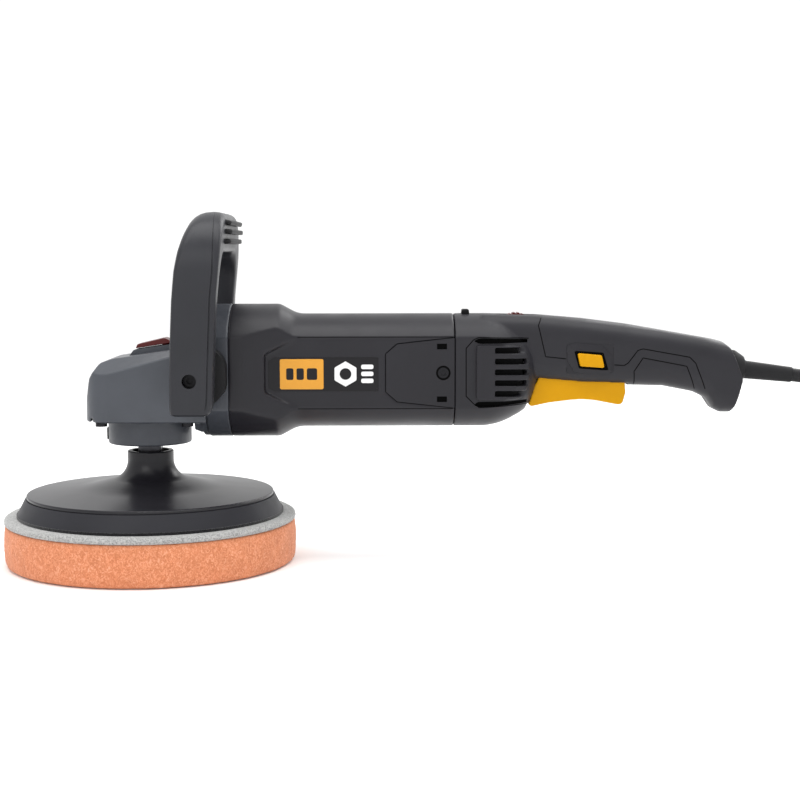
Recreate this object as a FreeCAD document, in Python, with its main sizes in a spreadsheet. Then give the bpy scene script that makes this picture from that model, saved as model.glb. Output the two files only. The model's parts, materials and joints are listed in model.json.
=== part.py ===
"""Rotary polisher: an electric motor in a straight barrel drives a flat foam pad through two gear stages.

Frame: millimetres. Z is up and runs along the spindle, X runs from the spindle to the rear handle,
-Y is the side with the lock-on button. The origin is the centre of the pad's lower face.
"""
import FreeCAD, Part
import math
import os
import re

import Sketcher

VECTOR = FreeCAD.Vector
IDENTITY = FreeCAD.Rotation()
TURN = {"X": FreeCAD.Rotation(VECTOR(0, 1, 0), 90),
        "Y": FreeCAD.Rotation(VECTOR(1, 0, 0), -90),
        "Z": IDENTITY}
SIDES = (-1, 1)

SIZES = {
    # pad and backing plate, from the work face up
    "pad_radius": 90.0, "foam_top": 25.9, "felt_top": 29.9, "pad_round": 2.5,
    "hook_radius": 81.8, "hook_top": 31.6, "cone_top": 41.0, "cone_top_radius": 76.5,
    "plate_radius": 75.8, "plate_rim": 2.2, "plate_rise": 3.8, "plate_knee_radius": 40.0,
    "hub_radius": 14.2, "hub_top": 69.0, "hub_flare": 12.0, "hub_mouth": 11.4,
    "insert_radius": 10.5, "insert_low": 46.0, "insert_top": 66.0,
    # spindle, its bearings and the crown gear
    "thread_radius": 7.0, "collar_radius": 8.3, "collar_top": 74.5,
    "journal_radius": 7.5, "lower_bearing_radius": 17.5, "lower_bearing_low": 76.0,
    "lower_bearing_width": 11.0, "upper_journal_radius": 4.0, "upper_bearing_radius": 8.0,
    "upper_bearing_low": 119.5, "upper_bearing_width": 5.5, "running_gap": 0.05,
    # gear train
    "lock_pin_place": 11.5, "layshaft_height": 100.6, "gear_module": 1.0, "pinion_teeth": 7,
    "wheel_teeth": 29,
    "bevel_teeth": 12, "crown_teeth": 26, "crown_radius": 22.75, "bevel_inner": 15.5,
    "wheel_front": 39.5, "wheel_width": 7.0, "crown_back": 117.5,
    # gear case
    "case_front": -35.5, "case_low": 89.0, "case_half": 33.0,
    "neck_front": 18.0, "flange_front": 38.2, "flange_rear": 52.0, "drum_radius": 40.8,
    "drum_half": 34.5, "retainer_radius": 25.5, "retainer_low": 74.0,
    # motor barrel
    "motor_height": 118.6, "drum_rear": 81.0, "barrel_front": 100.0, "barrel_radius": 34.8,
    "barrel_half": 27.4, "seam_place": 187.5, "shell_wall": 2.8, "panel_front": 73.4,
    "panel_half": 21.6, "arrow_half": 11.4, "armature_radius": 19.0, "fan_radius": 29.0,
    "shaft_radius": 5.0,
    # rear housing and controls
    "cover_thick": 1.6, "handle_half": 18.5, "dial_radius": 11.0, "dial_place": 226.2,
    "dial_height": 142.9, "trigger_pivot_place": 243.0, "trigger_pivot_height": 116.9,
    "trigger_half": 11.0,
    # bail handle
    "bail_half": 62.0, "bail_thick": 14.0, "bail_top": 215.0, "bail_low": 96.0,
    "bail_bolt_place": 32.0, "bail_bolt_height": 116.5,
    # mains lead
    "cord_diameter": 8.4, "coil_outer_radius": 66.0, "coil_inner_radius": 35.2,
    "pin_radius": 2.4, "pin_length": 19.0, "pin_spacing": 19.0,
}

doc = FreeCAD.newDocument("rotary_polisher")
sheet = doc.addObject("Spreadsheet::Sheet", "Sizes")
for row, (alias, number) in enumerate(SIZES.items(), 1):
    sheet.set(f"A{row}", alias.replace("_", " "))
    sheet.set(f"B{row}", str(number))
    sheet.setAlias(f"B{row}", alias)
doc.recompute()

nodes = {}


def bound(expression):
    """The same expression with each cell's alias written as the sheet's property."""
    return re.sub(r"\b([a-z]+(?:_[a-z0-9]+)+)\b", r"Sizes.\1", str(expression))


def value(expression):
    """What an expression of cells comes to, as a plain number."""
    return float(sheet.evalExpression(bound(expression)))


def bind(thing, **sizes):
    for prop, expression in sizes.items():
        thing.setExpression(prop, bound(expression))


def put(thing, at, turn=IDENTITY):
    """Place an object; its place stays bound to the sheet."""
    thing.Placement = FreeCAD.Placement(VECTOR(*[value(part) for part in at]), turn)
    for letter, part in zip("xyz", at):
        thing.setExpression(f".Placement.Base.{letter}", bound(part))


def node(label, thing):
    """Name a finished sub-part."""
    thing.Label = label
    nodes[label] = thing
    return thing


# ---------------------------------------------------------------- sketches and bodies

def new_body(at=(0, 0, 0), turn=IDENTITY):
    body = doc.addObject("PartDesign::Body", "Body")
    body.AllowCompound = True
    put(body, at, turn)
    return body


def origin_feature(body, role):
    return next(item for item in body.Origin.OriginFeatures if item.Role == role)


def new_sketch(body, plane, offset):
    sketch = body.newObject("Sketcher::SketchObject", "Outline")
    sketch.AttachmentSupport = [(origin_feature(body, f"{plane}_Plane"), "")]
    sketch.MapMode = "FlatFace"
    sketch.AttachmentOffset = FreeCAD.Placement(VECTOR(0, 0, value(offset)), IDENTITY)
    sketch.setExpression(".AttachmentOffset.Base.z", bound(offset))
    return sketch


def fix_point(sketch, element, point, across, up):
    """Hold a sketch point at a place worked out from the sheet."""
    for kind, expression in (("DistanceX", across), ("DistanceY", up)):
        index = sketch.addConstraint(
            Sketcher.Constraint(kind, -1, 1, element, point, value(expression)))
        sketch.setExpression(f"Constraints[{index}]", bound(expression))


def draw(body, plane, outline, offset=0):
    """A closed outline of (across, up) corners; a third entry rounds that corner."""
    sketch = new_sketch(body, plane, offset)
    corners = [VECTOR(value(entry[0]), value(entry[1]), 0) for entry in outline]
    count = len(corners)
    rounds = []
    for index, entry in enumerate(outline):
        if len(entry) < 3:
            rounds.append(None)
            continue
        corner, radius = corners[index], value(entry[2])
        back = (corners[index - 1] - corner).normalize()
        ahead = (corners[(index + 1) % count] - corner).normalize()
        half = back.getAngle(ahead) / 2
        reach = radius / math.tan(half)
        centre = corner + (back + ahead).normalize() * (radius / math.sin(half))
        rounds.append((corner + back * reach, corner + ahead * reach, centre, radius))
    for index in range(count):
        following = (index + 1) % count
        start = rounds[index][1] if rounds[index] else corners[index]
        end = rounds[following][0] if rounds[following] else corners[following]
        sketch.addGeometry(Part.LineSegment(start, end))
    for index, entry in enumerate(outline):
        before = (index - 1) % count
        if not rounds[index]:
            sketch.addConstraint(Sketcher.Constraint("Coincident", before, 2, index, 1))
            fix_point(sketch, index, 1, entry[0], entry[1])
            continue
        enter, leave, centre, radius = rounds[index]
        angles = [math.atan2(point.y - centre.y, point.x - centre.x) for point in (enter, leave)]
        clockwise = (angles[1] - angles[0]) % (2 * math.pi) > math.pi
        if clockwise:
            angles.reverse()
        circle = Part.Circle(centre, VECTOR(0, 0, 1), radius)
        arc = sketch.addGeometry(Part.ArcOfCircle(circle, angles[0], angles[1]))
        first, last = (2, 1) if clockwise else (1, 2)
        sketch.addConstraint(Sketcher.Constraint("Tangent", before, 2, arc, first))
        sketch.addConstraint(Sketcher.Constraint("Tangent", arc, last, index, 1))
        held = sketch.addConstraint(Sketcher.Constraint("Radius", arc, radius))
        sketch.setExpression(f"Constraints[{held}]", bound(entry[2]))
        corner = sketch.addGeometry(Part.Point(corners[index]), True)
        sketch.addConstraint(Sketcher.Constraint("PointOnObject", corner, 1, before))
        sketch.addConstraint(Sketcher.Constraint("PointOnObject", corner, 1, index))
        fix_point(sketch, corner, 1, entry[0], entry[1])
    return sketch


def draw_circles(body, plane, circles, offset=0):
    """Circles of (across, up, radius)."""
    sketch = new_sketch(body, plane, offset)
    for across, up, radius in circles:
        centre = VECTOR(value(across), value(up), 0)
        ring = sketch.addGeometry(Part.Circle(centre, VECTOR(0, 0, 1), value(radius)))
        fix_point(sketch, ring, 3, across, up)
        held = sketch.addConstraint(Sketcher.Constraint("Radius", ring, value(radius)))
        sketch.setExpression(f"Constraints[{held}]", bound(radius))
    return sketch


def add(body, kind, sketch, **settings):
    feature = body.newObject(f"PartDesign::{kind}", kind)
    feature.Profile = sketch
    for name, setting in settings.items():
        setattr(feature, name, setting)
    return feature


def pad(body, plane, outline, start, length):
    """Material from start, along the plane's normal, for length."""
    feature = add(body, "Pad", draw(body, plane, outline, start))
    bind(feature, Length=length)
    return feature


def pocket(body, plane, outline, start, length):
    """A cut from start, along the plane's normal, for length."""
    feature = add(body, "Pocket", draw(body, plane, outline, start), Reversed=True)
    bind(feature, Length=length)
    return feature


def drill(body, plane, circles, start, length):
    feature = add(body, "Pocket", draw_circles(body, plane, circles, start), Reversed=True)
    bind(feature, Length=length)
    return feature


def revolve(body, outline, axis="V", kind="Revolution"):
    """An outline of (across, up) in the XZ plane turned about its V (up) or H (across) axis."""
    sketch = draw(body, "XZ", outline)
    return add(body, kind, sketch, ReferenceAxis=(sketch, [f"{axis}_Axis"]), Angle=360)


def turned(outline, at=(0, 0, 0), axis="V"):
    body = new_body(at)
    revolve(body, outline, axis)
    return body


def around(body, feature, axis, count):
    """Repeat a feature round one of the body's own axes."""
    pattern = body.newObject("PartDesign::PolarPattern", "Pattern")
    pattern.Originals = [feature]
    pattern.Axis = (origin_feature(body, f"{axis}_Axis"), [""])
    pattern.Angle = 360
    bind(pattern, Occurrences=count)
    body.Tip = pattern
    return pattern


def loft(body, sections, kind="AdditiveLoft"):
    """Straight loft through (offset, outline) sections across the YZ plane."""
    sketches = [draw(body, "YZ", outline, offset) for offset, outline in sections]
    return add(body, kind, sketches[0], Sections=sketches[1:], Ruled=True)


# ---------------------------------------------------------------- primitives and booleans

def cylinder(radius, length, at, direction="Z"):
    thing = doc.addObject("Part::Cylinder", "Cylinder")
    bind(thing, Radius=radius, Height=length)
    put(thing, at, TURN[direction])
    return thing


def cone(low_radius, high_radius, length, at, direction="Z"):
    thing = doc.addObject("Part::Cone", "Cone")
    bind(thing, Radius1=low_radius, Radius2=high_radius, Height=length)
    put(thing, at, TURN[direction])
    return thing


def box(size, at):
    """A box by its size and its lowest corner."""
    thing = doc.addObject("Part::Box", "Box")
    bind(thing, Length=size[0], Width=size[1], Height=size[2])
    put(thing, at)
    return thing


def fuse(*things):
    thing = doc.addObject("Part::MultiFuse", "Fuse")
    thing.Shapes = list(things)
    return thing


def common(*things):
    thing = doc.addObject("Part::MultiCommon", "Common")
    thing.Shapes = list(things)
    return thing


def cut(base, *tools):
    thing = doc.addObject("Part::Cut", "Cut")
    thing.Base = base
    thing.Tool = tools[0] if len(tools) == 1 else fuse(*tools)
    return thing


def group(*things):
    thing = doc.addObject("Part::Compound", "Group")
    thing.Links = list(things)
    return thing


def tube(outer, inner, length, at, direction="Z"):
    return cut(cylinder(outer, length, at, direction), cylinder(inner, length, at, direction))


def shape_node(label, shape):
    """A sub-part whose shape is worked out in code."""
    thing = doc.addObject("Part::Feature", "Shape")
    thing.Shape = shape
    return node(label, thing)


def screw(at, direction, head_radius, head_height, shank_radius, shank_length):
    """A socket screw: its head starts at the place given and its shank runs along the direction."""
    step = dict(zip("XYZ", ((1, 0, 0), (0, 1, 0), (0, 0, 1))))[direction[-1]]
    sign = -1 if direction.startswith("-") else 1

    def along(distance):
        return [f"({place}) + ({sign * part} * ({distance}))" if part else place
                for place, part in zip(at, step)]

    def piece(radius, start, length):
        low = start if sign > 0 else f"({start}) + ({length})"
        return cylinder(radius, length, along(low), direction[-1])

    head = piece(head_radius, 0, head_height)
    shank = piece(shank_radius, head_height, shank_length)
    socket = piece(f"({head_radius}) * 0.5", 0, f"({head_height}) * 0.6")
    return cut(fuse(head, shank), socket)


# ---------------------------------------------------------------- pad, backing plate and spindle

def make_pad():
    node("polishing_pad", turned([
        (0, 0), ("pad_radius", 0, "pad_round"), ("pad_radius", "foam_top - 0.1"),
        (0, "foam_top - 0.1")]))
    node("pad_felt_layer", turned([
        (0, "foam_top"), ("pad_radius - 0.3", "foam_top"),
        ("pad_radius - 0.3", "felt_top - 0.1", 1), (0, "felt_top - 0.1")]))
    node("hook_layer", turned([
        (0, "felt_top"), ("hook_radius", "felt_top"), ("hook_radius", "hook_top"),
        (0, "hook_top")]))


def make_backing_plate():
    node("backing_foam", turned([
        (0, "hook_top"), ("hook_radius - 0.5", "hook_top"), ("cone_top_radius", "cone_top"),
        (0, "cone_top")]))
    node("backing_plate", turned([
        (0, "cone_top"), ("plate_radius - 0.7", "cone_top"),
        ("plate_radius - 0.7", "cone_top + 0.5"), ("plate_radius", "cone_top + 0.5"),
        ("plate_radius", "cone_top + plate_rim", 0.8),
        ("plate_knee_radius", "cone_top + plate_rim + plate_rise", 80),
        ("hub_radius", "cone_top + plate_rim + plate_rise + 6.8", "hub_flare"),
        ("hub_radius", "hub_top", 0.7), ("hub_mouth", "hub_top"), ("hub_mouth", "insert_top"),
        ("insert_radius", "insert_top"), ("insert_radius", "insert_low"), (0, "insert_low")]))
    node("threaded_insert", turned([
        ("thread_radius + 0.1", "insert_low + 2"), ("insert_radius", "insert_low + 2"),
        ("insert_radius", "insert_top"), ("thread_radius + 0.1", "insert_top")]))


def make_spindle():
    body = turned([
        (0, "insert_low + 3"), ("thread_radius", "insert_low + 3"),
        ("thread_radius", "insert_top"), ("collar_radius", "insert_top"),
        ("collar_radius", "collar_top"), ("journal_radius + 1.5", "collar_top"),
        ("journal_radius + 1.5", "lower_bearing_low - 0.2"),
        ("journal_radius", "lower_bearing_low - 0.2"), ("journal_radius", "crown_back"),
        ("upper_journal_radius", "crown_back"),
        ("upper_journal_radius", "upper_bearing_low + upper_bearing_width"),
        (0, "upper_bearing_low + upper_bearing_width")])
    for side in ("-collar_radius - 1", "collar_radius - 1.3"):
        pocket(body, "YZ", [(-10, "insert_top + 1"), (10, "insert_top + 1"),
                            (10, "insert_top + 6"), (-10, "insert_top + 6")], side, 2.3)
    node("spindle", body)
    node("spindle_lower_bearing", bearing(
        "journal_radius", "lower_bearing_radius", "lower_bearing_width",
        (0, 0, "lower_bearing_low"), "Z"))
    spindle_bushing = tube("upper_bearing_radius", "upper_journal_radius + running_gap",
                           "upper_bearing_width", (0, 0, "upper_bearing_low + 0.3"))
    layshaft_bushing = tube(8, "4 + running_gap", 7, (27.6, 0, "layshaft_height"), "X")
    node("bronze_bushings", group(spindle_bushing, layshaft_bushing))
    node("dust_seal", tube(
        "lower_bearing_radius - 3.6", "journal_radius + 2", 1.2,
        (0, 0, "lower_bearing_low - 1.6")))


def bearing(bore, outer, width, at, direction):
    """A sealed ball bearing, its shields set back from both faces."""
    body = turned([
        (f"{bore} + running_gap", 0), (f"{bore} + 1.6", 0), (f"{bore} + 1.6", 0.5),
        (f"{outer} - 1.6", 0.5), (f"{outer} - 1.6", 0), (outer, 0), (outer, width),
        (f"{outer} - 1.6", width), (f"{outer} - 1.6", f"{width} - 0.5"),
        (f"{bore} + 1.6", f"{width} - 0.5"), (f"{bore} + 1.6", width),
        (f"{bore} + running_gap", width)])
    put(body, at, TURN[direction])
    return body


# ---------------------------------------------------------------- gear train

TOOTH_PLAY = 0.36


def spur_teeth(body, teeth, play):
    """Straight tooth gaps cut round a blank whose axis is X."""
    pitch = f"({teeth} * gear_module / 2)"
    quarter = f"(gear_module * 0.785 + {play})"
    gap = [(f"-({quarter}) * 0.45", f"{pitch} - gear_module * 1.2"),
           (f"({quarter}) * 0.45", f"{pitch} - gear_module * 1.2"),
           (f"({quarter}) * 1.45", f"{pitch} + gear_module * 1.3"),
           (f"-({quarter}) * 1.45", f"{pitch} + gear_module * 1.3")]
    feature = pocket(body, "YZ", gap, "wheel_front - 0.5", "wheel_width + 1")
    around(body, feature, "X", teeth)


def make_armature():
    """Shaft with its pinion, laminated core, windings, commutator and fan."""
    body = new_body((0, 0, "motor_height"))
    pinion_tip = "pinion_teeth * gear_module / 2 + gear_module * 0.8"
    revolve(body, [
        ("wheel_front", 0), ("wheel_front", pinion_tip), ("wheel_front + wheel_width", pinion_tip),
        ("wheel_front + wheel_width", "shaft_radius - 0.6"), (56.5, "shaft_radius - 0.6"),
        (56.5, "shaft_radius"), (164, "shaft_radius"), (164, "shaft_radius - 1"),
        (174, "shaft_radius - 1"), (174, 0)], "H")
    spur_teeth(body, "pinion_teeth", TOOTH_PLAY)
    node("armature_shaft", body)
    node("armature_core", tube("armature_radius", "shaft_radius", 46,
                               (92, 0, "motor_height"), "X"))
    node("armature_winding", group(
        tube("armature_radius - 2", "shaft_radius + 2", 8.5, (83.5, 0, "motor_height"), "X"),
        tube("armature_radius - 2", "shaft_radius + 2", 8.5, (138, 0, "motor_height"), "X")))
    node("commutator", make_commutator())
    node("motor_fan", make_fan())
    node("armature_front_bearing", bearing("shaft_radius", 14, 9, (57, 0, "motor_height"), "X"))
    node("armature_rear_bearing", bearing("shaft_radius - 1", 11, 7,
                                          (165, 0, "motor_height"), "X"))


def make_commutator():
    body = new_body((0, 0, "motor_height"))
    revolve(body, [(147.2, "shaft_radius"), (147.2, 13.5), (149, 13.5), (149, 12),
                   (161, 12), (161, "shaft_radius")], "H")
    slot = pocket(body, "YZ", [(-0.3, 11), (0.3, 11), (0.3, 14), (-0.3, 14)], 149, 13)
    around(body, slot, "X", 22)
    return body


def make_fan():
    """Radial fan: a back plate with straight blades."""
    body = new_body((0, 0, "motor_height"))
    revolve(body, [(66.8, "shaft_radius"), (66.8, 9), (69, 9), (69, "fan_radius"),
                   (70.4, "fan_radius"), (70.4, 9), (75, 9), (75, "shaft_radius")], "H")
    blade = pad(body, "YZ", [(-0.8, 19.5), (0.8, 19.5), (0.8, "fan_radius - 0.5"),
                             (-0.8, "fan_radius - 0.5")], 62, 7.1)
    around(body, blade, "X", 12)
    return body


def make_layshaft():
    """Second shaft: the wheel the motor drives, and the bevel pinion that drives the crown."""
    at = (0, 0, "layshaft_height")
    shaft = turned([
        (14, 0), (14, 4), (34.9, 4), (34.9, 5), ("wheel_front + wheel_width", 5),
        ("wheel_front + wheel_width", 4), (55, 4), (55, 0)], at, "H")
    node("layshaft", shaft)
    wheel = new_body(at)
    tip = "wheel_teeth * gear_module / 2 + gear_module * 0.8"
    revolve(wheel, [("wheel_front", 5), ("wheel_front", tip), ("wheel_front + wheel_width", tip),
                    ("wheel_front + wheel_width", 5)], "H")
    spur_teeth(wheel, "wheel_teeth", TOOTH_PLAY)
    node("reduction_gear", wheel)
    node("layshaft_rear_bearing", bearing(4, 9.5, 6, (47.6, 0, "layshaft_height"), "X"))


RATIO = "(bevel_teeth / crown_teeth)"
BEVEL_RISE = "(crown_radius * bevel_teeth / crown_teeth)"
BEVEL_ADD = 0.062
BEVEL_DEEP = 0.085


def bevel_gap(place, points_up, play):
    """A tooth gap at a distance from the apex of the pitch cones, the mouth wider than the root."""
    root, mouth = (BEVEL_DEEP, -BEVEL_ADD - 0.03) if points_up else (-BEVEL_DEEP, BEVEL_ADD + 0.03)
    half = f"(3.1416 / crown_teeth / 2 + {play})"
    return [(f"-{place} * {half} * 0.5", f"{place} * ({RATIO} + {root})"),
            (f"{place} * {half} * 0.5", f"{place} * ({RATIO} + {root})"),
            (f"{place} * {half} * 1.6", f"{place} * ({RATIO} + {mouth})"),
            (f"-{place} * {half} * 1.6", f"{place} * ({RATIO} + {mouth})")]


def bevel_teeth(body, points_up, play, axis, count):
    inner, outer = "(bevel_inner - 2)", "(crown_radius + 2)"
    feature = loft(body, [(inner, bevel_gap(inner, points_up, play)),
                          (outer, bevel_gap(outer, points_up, play))], "SubtractiveLoft")
    around(body, feature, axis, count)


def make_bevel_gears():
    """The crown gear faces down onto the bevel pinion; both pitch cones meet on the spindle axis."""
    at = (0, 0, "layshaft_height")
    crown = new_body(at)
    back = "(crown_back - layshaft_height)"
    revolve(crown, [
        ("journal_radius", f"bevel_inner * ({RATIO} - {BEVEL_ADD})"),
        ("bevel_inner", f"bevel_inner * ({RATIO} - {BEVEL_ADD})"),
        ("crown_radius", f"crown_radius * ({RATIO} - {BEVEL_ADD})"),
        ("crown_radius + 0.8", f"crown_radius * ({RATIO} + 0.03)"),
        ("crown_radius + 0.8", back), ("journal_radius", back)])
    bevel_teeth(crown, True, 0.016, "Z", "crown_teeth")
    place = "lock_pin_place"
    drill(crown, "XY", [(0, place, 2.5), (0, f"-{place}", 2.5), (place, 0, 2.5),
                        (f"-{place}", 0, 2.5)], f"{back} - 3.2", 4)
    node("crown_gear", crown)
    pinion = new_body(at, FreeCAD.Rotation(VECTOR(1, 0, 0), 180 / value("bevel_teeth")))
    revolve(pinion, [
        ("bevel_inner", 4), ("bevel_inner", f"bevel_inner * ({RATIO} + {BEVEL_ADD})"),
        ("crown_radius", f"crown_radius * ({RATIO} + {BEVEL_ADD})"),
        ("crown_radius + 1", f"{BEVEL_RISE} - 2"), ("crown_radius + 3.5", 7),
        ("crown_radius + 3.5", 4)], "H")
    bevel_teeth(pinion, False, 0.016, "X", "bevel_teeth")
    node("bevel_pinion", pinion)


# ---------------------------------------------------------------- gear case

def head_side(grow):
    """Side outline of the gear head; grow moves it out, or in when it is negative."""
    return [(f"case_front - ({grow})", f"case_low - ({grow})"),
            (f"case_front + 0.6 - ({grow})", 103, 20), (f"-32.4 - ({grow})", f"115.4 + ({grow})", 4),
            (f"-26.8 - ({grow})", f"124.4 + ({grow})", 5),
            (-17.9, f"127.7 + ({grow})"), ("neck_front", f"133.2 + ({grow})"),
            ("flange_front", f"133.2 + ({grow})"), ("flange_front", f"case_low - ({grow})")]


def head_plan(grow):
    """Plan outline of the gear head, with its rounded front corners."""
    half = f"(case_half + ({grow}))"
    return [(f"case_front - ({grow})", f"-{half}", f"16 + ({grow})"), ("flange_front", f"-{half}"),
            ("flange_front", half), (f"case_front - ({grow})", half, f"16 + ({grow})")]


def head_solid(grow):
    """Gear head: the side outline and the plan together, its shoulders planed off."""
    side = new_body()
    pad(side, "XZ", head_side(grow), "-case_half - 6", "2 * case_half + 12")
    plan = new_body()
    pad(plan, "XY", head_plan(grow), "case_low - 6", 60)
    shoulders = new_body((0, 0, f"({grow}) * 1.3"))
    loft(shoulders, [
        ("case_front - 8", shoulder_section(112.6, 122.4)),
        ("flange_front + 0.01", shoulder_section(134.6, 134.4))])
    return common(side, plan, shoulders)


def shoulder_section(side_height, ridge_height):
    return [("-case_half - 8", "case_low - 10"), ("case_half + 8", "case_low - 10"),
            ("case_half + 8", f"{side_height} - 4.9"), ("case_half", side_height),
            (20, f"{ridge_height} + 1"), (-20, f"{ridge_height} + 1"),
            ("-case_half", side_height), ("-case_half - 8", f"{side_height} - 4.9")]


def flatted(length, at_x, radius, half):
    """A round bar along X about the motor axis, with both sides cut flat."""
    return common(
        cylinder(radius, length, (at_x, 0, "motor_height"), "X"),
        box((length, f"2 * ({half})", f"2 * ({radius}) + 2"),
            (at_x, f"-({half})", f"motor_height - ({radius}) - 1")))


def make_gear_case():
    neck = new_body()
    loft(neck, [
        ("neck_front", [(-24, "case_low"), (24, "case_low"), (27, 100), (27, 122), (20, 131),
                        (-20, 131), (-27, 122), (-27, 100)]),
        ("flange_front - 3.4", [(-20, 82), (20, 82), (30, 98), (30, 138), (18, 154),
                                (-18, 154), (-30, 138), (-30, 98)])])
    skirt = flatted(3.6, "flange_front - 3.6", "drum_radius - 0.5", "drum_half")
    boss_end = "(bail_half - bail_thick - 0.1)"
    bosses = cylinder(9, f"2 * {boss_end}", ("bail_bolt_place", f"-{boss_end}",
                                             "bail_bolt_height"), "Y")
    outside = fuse(head_solid(0), neck, skirt, bosses)
    chamber = cylinder("crown_radius + 3.2", 30.5, (0, 0, "case_low - 1"))
    flange_seat = box((61.4, 56.6, 11), (-31.3, -28.3, "case_low - 8"))
    behind = box((20, 120, 90), ("flange_front", -60, 75))
    dome = cylinder("upper_bearing_radius", 9, (0, 0, "upper_bearing_low - 3"))
    pinion_room = cylinder(9.2, 11.4, (16, 0, "layshaft_height"), "X")
    tunnel = cylinder(8, 12, (27.2, 0, "layshaft_height"), "X")
    gear_room = cylinder(16.6, 8, ("flange_front - 2.4", 0, "layshaft_height"), "X")
    lock_bore = cylinder(2.15, 14, ("lock_pin_place", 0, "crown_back - 1"))
    lock_pit = cylinder(4.4, 10, ("lock_pin_place", 0, LOCK_PIT))
    bolt_holes = [cylinder(3.1, 18, ("bail_bolt_place", place, "bail_bolt_height"), "Y")
                  for place in (f"-{boss_end} - 1", f"{boss_end} - 17")]
    flange_holes = [hole for y, z in FLANGE_SCREWS for hole in (
        cylinder(2.6, 20, ("flange_front - 10", y, z), "X"),
        cylinder(4.9, 12, ("flange_front - 14.6", y, z), "X"))]
    foot_holes = [cylinder(2.1, 8, (x, y, "case_low")) for x, y in FOOT_SCREWS]
    node("gear_housing", cut(outside, behind, chamber, flange_seat, dome, pinion_room, tunnel,
                             gear_room, lock_bore, lock_pit, *bolt_holes, *flange_holes, *foot_holes))


LOCK_PIT = 126.6
FLANGE_SCREWS = [(side * 26, f"motor_height + {rise * 26}") for side in (-1, 1) for rise in (-1, 1)]
FOOT_SCREWS = [(x, y) for x in (-26, 26) for y in (-23, 23)]


def make_bearing_retainer():
    """Round box under the gear head that carries the lower spindle bearing."""
    bearing_top = "lower_bearing_low + lower_bearing_width"
    cup = turned([
        ("lower_bearing_radius - 3.6", "retainer_low"), ("retainer_radius", "retainer_low", 0.8),
        ("retainer_radius", "case_low"), ("retainer_radius", "case_low + 2.9"),
        ("retainer_radius - 1.6", "case_low + 2.9"), ("retainer_radius - 1.6", bearing_top),
        ("lower_bearing_radius", bearing_top), ("lower_bearing_radius", "lower_bearing_low"),
        ("lower_bearing_radius - 3.6", "lower_bearing_low")])
    flange = new_body()
    pad(flange, "XY", [(-31, -28, 5), (29.8, -28, 3), (29.8, 28, 3), (-31, 28, 5)], "case_low", 2.9)
    plate = cut(flange, cylinder("retainer_radius - 0.5", 5, (0, 0, "case_low - 1")))
    tools = [cylinder(12.7, 16, (14, 0, "layshaft_height"), "X"),
             box((6, 5, 5.6), ("-retainer_radius - 4", -2.5, 76.4))]
    tools += [cylinder(2.3, 6, (x, y, "case_low - 1")) for x, y in FOOT_SCREWS]
    node("bearing_retainer", cut(fuse(cup, plate), *tools))
    node("retainer_screws", group(*[
        screw((x, y, "case_low - 2.7"), "Z", 3.5, 2.6, 2, 8) for x, y in FOOT_SCREWS]))


def make_mid_flange():
    """Aluminium plate between the gear case and the motor, with the armature's front bearing."""
    length = "(flange_rear - flange_front)"
    plate = flatted(length, "flange_front", "drum_radius", "drum_half")
    tower = cylinder(17.5, 15, ("flange_rear - 0.5", 0, "motor_height"), "X")
    tail = cylinder(11.5, 4, ("flange_rear - 0.5", 0, "layshaft_height"), "X")
    tools = [cylinder(16.6, 10, ("flange_front - 1", 0, "layshaft_height"), "X"),
             cylinder(9.5, 7, (46.9, 0, "layshaft_height"), "X"),
             cylinder(5, 9, (47, 0, "layshaft_height"), "X"),
             cylinder(7, 22, ("flange_front - 1", 0, "motor_height"), "X"),
             cylinder(14, 12, (56.8, 0, "motor_height"), "X")]
    tools += [cylinder(2.7, 16, ("flange_front - 1", y, z), "X") for y, z in FLANGE_SCREWS]
    node("mid_flange", cut(fuse(plate, tower, tail), *tools))
    node("flange_screws", group(*[
        screw(("flange_front - 7.8", y, z), "X", 4.2, 4.2, 2.4, 26) for y, z in FLANGE_SCREWS]))


def make_spindle_lock():
    """Sprung button on the head's sloping top; its pin drops into a hole in the crown gear."""
    slope = 0.153

    def roof(x, above):
        return f"133.2 + ({x} - neck_front) * {slope} + {above}"

    base = new_body()
    pad(base, "XZ", [(-11, roof(-11, -1)), (17, roof(17, -1)), (17, roof(17, 2.4), 0.8),
                     (-8, roof(-8, 2.4), 1.2)], -9.5, 19)
    pocket(base, "XZ", [(-7.6, 120), (15.1, 120), (15.1, 145), (-7.6, 145)], -7.4, 14.8)
    button = new_body()
    pad(button, "XZ", [(-7.2, roof(-7.2, 3.1)), (14.5, roof(14.5, 3.1)), (14.5, 136.8, 0.8),
                       (10.5, 138.9, 3), (-6, 135.0, 1.2)], -7, 14)
    stem = cylinder(3.2, 3.2, ("lock_pin_place", 0, 132.4))
    pin = cylinder(2, 14.4, ("lock_pin_place", 0, "crown_back + 1.7"))
    node("spindle_lock_base", cut(base, nodes["gear_housing"]))
    node("spindle_lock_button", cut(fuse(button, stem), cylinder(
        2, 12, ("lock_pin_place", 0, 122.5))))
    node("spindle_lock_pin", fuse(pin, cylinder(3.2, 1, ("lock_pin_place", 0, 131.3))))
    node("spindle_lock_spring", tube(3.3, 2.5, 4.5, ("lock_pin_place", 0, f"{LOCK_PIT} + 0.1")))


# ---------------------------------------------------------------- bail handle

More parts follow.
